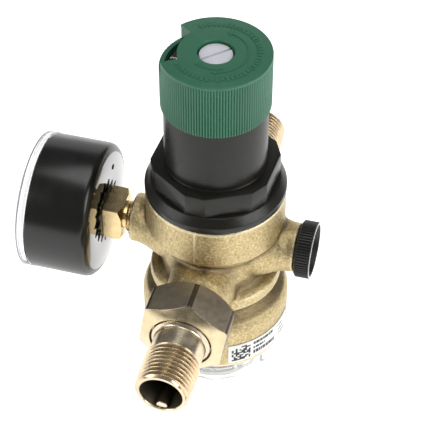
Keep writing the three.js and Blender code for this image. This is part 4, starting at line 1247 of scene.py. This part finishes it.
# ---------------------------------------------------------------- the bowl and its sieve
def sieve_bowl():
    """The clear cup with its twelve-sided flange, and the spigot that seals in the casting."""
    base = low("sieve_bowl")[2]
    cup, flange, flange_wall, sides = 18.0, 25.5, 22.4, 12
    shoulder = high("sieve_bowl")[2] - 11.1
    flange_low, flange_high = base + 9, base + 16
    spigot, groove, spigot_top = 23.3, 21.9, base + 32.7
    obj = turned("bowl", [
        (0, base), (12.6, base, 0.6), (cup - 0.6, base + 2.2, 3.0), (cup + 0.3, flange_low, 0.5),
        (flange_wall, flange_low, 0.4), (flange_wall, flange_high, 0.3), (24.7, flange_high, 0.5),
        (25.7, shoulder, 0.3), (spigot, shoulder), (spigot, base + 28.3), (groove, base + 28.3),
        (groove, base + 30.7), (spigot, base + 30.7), (spigot, spigot_top, 0.4), (20.3, spigot_top, 0.4),
        (19.7, base + 15.4, 1.5), (16, base + 12.6, 1.5), (15.7, base + 3, 2.2), (0, base + 3),
    ], BOWL_CLEAR, sides=144)
    outline = filleted_polygon(sides, 2 * flange * math.cos(math.pi / sides), 14, 0.6, 2)
    rim = prism("rim", outline, flange_low, flange_high + 0.4, BOWL_CLEAR)
    cut(rim, rod_mesh(21, base, shoulder))
    bevelled(rim, 0.5, 40)
    combine(obj, rim)
    shade(obj, 32)
    settle(obj, "clear_plastic", "sieve_bowl")
    o_ring("bowl_seal_ring", 22, 1.4, PIPE - 30.5, "bowl_oring")


def sieve():
    bottom, top = low("sieve_frame")[2], high("sieve_frame")[2]
    outer = 15.3
    obj = turned("sieve_top_ring", ring_outline(12.6, 16.2, top - 1.5, top, 0.3), WHITE_PLASTIC, sides=96)
    combine(obj, turned_mesh("foot", [
        (0, bottom), (outer, bottom, 0.3), (outer, bottom + 1.6, 0.3), (0, bottom + 1.6),
    ], sides=96))
    for i in range(4):
        rib = turned_corners(box_corners(14.35, -0.9, outer, 0.9), 45 + 90 * i)
        combine(obj, prism_mesh("rib", rib, bottom + 0.2, top - 0.2))
    bevelled(obj, 0.15, 40)
    settle(obj, "white_plastic", "sieve_frame")
    woven_sieve(low("sieve_mesh")[2], high("sieve_mesh")[2])


def woven_sieve(bottom, top):
    """Round and upright wires of the sieve, woven over and under each other."""
    radius, wire, weave = 13.6, 0.16, 0.13
    upright, hoops, sides = 72, 46, 4
    vertices, faces = [], []

    def crossing(i, j, side):
        x, y = polar(radius + side * weave * (-1) ** (i + j), 360 * i / upright)
        return x, y, bottom + (top - bottom) * (j + 0.5) / hoops

    def strand(path, closed):
        path = np.array(path)
        first, count = len(vertices), len(path)
        along = np.roll(path, -1, axis=0) - np.roll(path, 1, axis=0)
        if not closed:
            along[0], along[-1] = path[1] - path[0], path[-1] - path[-2]
        for point, step in zip(path, along):
            step = step / np.linalg.norm(step)
            out = point * (1, 1, 0) / math.hypot(point[0], point[1])
            across = np.cross(step, out)
            for k in range(sides):
                c, s = polar(wire, 360 * (k + 0.5) / sides)
                vertices.append(point + c * out + s * across)
        faces.extend(tuple(first + k for k in face) for face in grid_faces(count, sides, closed))
        if not closed:
            faces.append(tuple(first + k for k in range(sides)))
            faces.append(tuple(first + count * sides - 1 - k for k in range(sides)))

    for j in range(hoops):
        strand([crossing(i, j, 1) for i in range(upright)], True)
    for i in range(upright):
        strand([crossing(i, j, -1) for j in range(hoops)], False)
    obj = shade(add_object("sieve_weave", mesh_of("sieve_weave", vertices, faces), STAINLESS), 60)
    settle(obj, "stainless_steel", "sieve_mesh")


# ---------------------------------------------------------------- the works inside
def spring_plate():
    bottom, top = low("spring_plate")[2] + 6, high("spring_plate")[2]
    bore, hub, edge = 4.3, 8.4, 15.6
    obj = turned("travelling_nut", [
        (bore, bottom - 6, 0.2), (hub, bottom - 6, 0.3), (hub, bottom, 0.5), (edge, bottom, 0.3),
        (edge, top, 0.4), (bore, top, 0.3),
    ], TURNED_BRASS, sides=96)
    for turn in (0, 180):
        lug = turned_corners(box_corners(14, -1.9, 17.2, 1.9), turn)
        combine(obj, prism_mesh("lug", lug, bottom, bottom + 2))
    bevelled(obj, 0.12, 40)
    settle(obj, "turned_brass", "spring_plate", body="spring_plate_body")


PLATE_TRAVEL = 5.5
STEM_TRAVEL = 2.5


def adjustment_spring():
    """Two lengths of one coil, the lower to the upper as the lifting stem's travel to the spring plate's."""
    wire, radius, turns, end_pitch = 1.9, 12.2, 5, 4.2
    bottom, top = low("diaphragm_plate")[2] + 11.9 + wire, low("spring_plate")[2] + 5.7 - wire
    middle_pitch = (top - bottom - 2 * end_pitch) / (turns - 2)
    length = top - bottom + 2 * wire
    still = bottom - wire + length * STEM_TRAVEL / (STEM_TRAVEL + PLATE_TRAVEL)
    still_turn = 1 + (still - bottom - end_pitch) / middle_pitch

    def heights(t):
        middle = min(max(t - 1, 0), turns - 2)
        return bottom + end_pitch * (t - middle) + middle_pitch * middle

    for name, first, last, joint in (
        ("lower", 0, still_turn, "stem_slide"),
        ("upper", still_turn, turns, "spring_plate_slide"),
    ):
        obj = helix_tube(f"spring_wire_{name}", SPRING_STEEL, first, last, radius, heights, wire)
        settle(obj, "spring_steel", "adjustment_spring")
        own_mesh(obj)


def valve_stem():
    bottom, top = low("valve_stem")[2], high("valve_stem")[2]
    radius, thread_start = 3.0, top - 10
    stem = turned("stem", [
        (0, bottom), (5.2, bottom, 0.5), (5.2, bottom + 3.3, 0.3), (radius, bottom + 3.3),
        *steps_between(radius, thread_start, top - 0.5, 0.12), (radius - 0.5, top), (0, top),
    ], STAINLESS, sides=64, relief=helix_relief(thread_start, top, 1.0, 0.45, radius))
    settle(stem, "stainless_steel", "valve_stem", body="stem_body")


def stem_group():
    """The stem with all that it carries: disc, seal, diaphragm plate and nut."""
    valve_stem()
    bore = 3.3
    disc = low("valve_disc")[2]
    holder = turned("disc_holder", [
        (bore, disc, 0.2), (8, disc, 0.4), (9.2, disc + 1, 0.4), (9.2, disc + 3.6, 0.3), (bore, disc + 3.6),
    ], TURNED_BRASS, sides=96)
    settle(holder, "turned_brass", "valve_disc", body="stem_body")
    seal = low("disc_seal")[2]
    washer = turned("seat_seal", [
        (bore, seal), (8.8, seal, 0.2), (8.8, seal + 1.7, 0.4), (bore, seal + 1.7, 0.1),
    ], RUBBER, sides=96)
    settle(washer, "rubber", "disc_seal", body="stem_body")
    plate, plate_top = low("diaphragm_plate")[2], high("diaphragm_plate")[2]
    support = turned("diaphragm_support", [
        (bore, plate), (14.6, plate, 0.8), (15.3, plate + 1.9, 0.8), (15.3, plate_top, 0.4),
        (13.8, plate_top, 0.3), (13.2, plate_top), (7.6, plate_top, 0.4), (7.6, plate + 4.9, 0.3),
        (bore, plate + 4.9),
    ], TURNED_BRASS, sides=120)
    settle(support, "turned_brass", "diaphragm_plate", body="stem_body")
    nut_low, nut_top = low("stem_nut")[2], high("stem_nut")[2]
    nut = prism("stem_hex_nut", filleted_polygon(6, 12, 0, 0.3, 2), nut_low, nut_top, TURNED_BRASS)
    combine(nut, turned_mesh("dome", [
        (0, nut_low), (6.1, nut_low), (7.1, nut_low + 0.6), (7.1, nut_top - 0.6), (6.1, nut_top),
        (0, nut_top),
    ], sides=72), "INTERSECT")
    cut(nut, rod_mesh(3.2, nut_low - 1, nut_top + 1, sides=48))
    bevelled(nut, 0.1, 40)
    settle(nut, "turned_brass", "stem_nut", body="stem_body")


def diaphragm():
    """Slices of one sheet, each reaching from the lifting stem out to the clamped rim."""
    bottom, top = low("diaphragm")[2], high("diaphragm")[2]
    inner, plate_edge, clamp_edge, outer = 3.3, 15.2, 16.3, 22.6
    bend = np.linspace(plate_edge, clamp_edge + 0.2, 9)
    profile = [(inner, bottom), *((r, bottom) for r in bend), (outer, bottom), (outer, top)]
    profile += [*((r, top) for r in bend[::-1]), (inner, top)]
    slices, steps = 20, 4
    for i in range(slices):
        middle = 360 * (i + 0.5) / slices
        turns = [middle + 360 / slices * (k / steps - 0.5) for k in range(steps + 1)]
        rings = [[(*polar(r, turn), z) for r, z in profile] for turn in turns]
        obj = swept(f"diaphragm_slice_{i}", rings, RUBBER)
        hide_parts("diaphragm")
        start, end = ((*(MM * c for c in polar(r, middle)), bottom * MM) for r in (plate_edge, clamp_edge))
        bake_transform(obj)
        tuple(start)
        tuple(end)
    outline = ring_outline(16.6, 22.8, low("slip_ring")[2], high("slip_ring")[2])
    ring = turned("slip_washer", outline, WHITE_PLASTIC, sides=120)
    settle(ring, "white_plastic", "slip_ring")


def valve_insert():
    """The insert that holds the seat, with two pairs of windows and four small holes."""
    seat, top = low("valve_insert")[2], high("valve_insert")[2]
    tube, groove, bore, flange = 13, 11.9, 10.6, top - 2.8
    obj = turned("insert", [
        (3.3, top), (22.9, top, 0.3), (22.9, flange, 0.3), (tube, flange, 0.4), (tube, seat + 6.8, 0.2),
        (groove, seat + 6.8), (groove, seat + 3.8), (tube, seat + 3.8, 0.2), (tube, seat + 1, 0.3),
        (8.4, seat + 1, 0.3), (7.7, seat, 0.2), (6.8, seat, 0.3), (6.8, seat + 3), (bore, seat + 6),
        (bore, top - 6.3, 0.5), (3.3, top - 6.3),
    ], BLACK_PLASTIC, sides=120)
    for turn in (0, 90):
        corners = turned_corners(box_corners(-30, -5, 30, 5), turn)
        cut(obj, bevelled(prism("window", corners, seat + 13, seat + 25, BLACK_PLASTIC), 1.2, 40))
    for i in range(4):
        x, y = polar(15.6, 45 + 90 * i)
        hole = rod_mesh(1.2, top - 5, top + 1, sides=24)
        hole.transform(Matrix.Translation((x * MM, y * MM, 0)))
        cut(obj, hole)
    shade(obj, 32)
    settle(obj, "black_plastic", "valve_insert")
    o_ring("insert_seal_ring", 12.05, 1.05, PIPE - 2.7, "insert_oring")


def movement():
    """The gauge's wheelwork keeps its designed shapes, in machined brass."""
    for node in ("gauge_pinion_shaft", "gauge_sector", "gauge_link", "gauge_movement_plates"):
        finishes(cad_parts[node], SIDE_BRASS)
        shade(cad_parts[node], 46)


# ---------------------------------------------------------------- stage, light and camera
def studio():
    """A white floor and surround, with four soft lights."""
    floor = bpy.data.meshes.new("floor")
    size = 3.0
    corners = [(x, y, 0) for x, y in box_corners(-size, -size, size, size)]
    floor.from_pydata(corners, [], [(0, 1, 2, 3)])
    add_object("floor", floor, floor_white())
    world = bpy.data.worlds.new("studio")
    bpy.context.scene.world = world
    world.use_nodes = True
    world.node_tree.nodes["Background"].inputs["Color"].default_value = (1, 1, 1, 1)
    world.node_tree.nodes["Background"].inputs["Strength"].default_value = 0.16
    softbox("key", (-0.85, -0.60, 0.70), 0.7, 5)
    softbox("fill", (0.95, -0.25, 0.65), 0.7, 7)
    softbox("top", (0.05, 0.10, 1.30), 0.7, 4)
    softbox("back", (-0.25, 1.25, 0.35), 1.0, 2.5)


def softbox(name, place, size, power):
    light = bpy.data.lights.new(name, "AREA")
    light.shape = "SQUARE"
    light.size = size
    light.energy = power
    obj = bpy.data.objects.new(name, light)
    bpy.context.scene.collection.objects.link(obj)
    obj.location = place
    aim = Vector((0, 0, 0.07)) - Vector(place)
    obj.rotation_euler = aim.to_track_quat("-Z", "Y").to_euler()


def camera():
    azimuth, elevation = math.radians(15.25), math.radians(44.77)
    distance, lens = 595.8, 124.33
    shift_right, shift_up = -0.87, 12.34
    right = np.array([math.cos(azimuth), math.sin(azimuth), 0])
    back = np.cross(right, UP) * math.cos(elevation) + UP * math.sin(elevation)
    up = np.cross(back, right)
    target = np.array(PIPE_CENTRE) + shift_right * right + shift_up * up
    data = bpy.data.cameras.new("camera")
    data.lens = lens
    obj = bpy.data.objects.new("camera", data)
    bpy.context.scene.collection.objects.link(obj)
    axes = Matrix(np.stack([right, up, back], axis=1).tolist()).to_4x4()
    axes.translation = Vector(((target + distance * back) * MM).tolist())
    obj.matrix_world = axes
    bpy.context.scene.camera = obj


camera()
studio()
housing_casting()
parting_rib()
bonnet()
knob()
knob_marks()
lock_screw()
adjusting_spindle()
setting_scale()
unions()
blanking_plug()
label()
gauge_case()
gauge_window()
gauge_dial()
gauge_pointer()
gauge_socket()
star_washer()
bourdon_tube()
movement()
sieve_bowl()
sieve()
spring_plate()
adjustment_spring()
stem_group()
diaphragm()
valve_insert()

bpy.context.scene.view_settings.view_transform = "Standard"
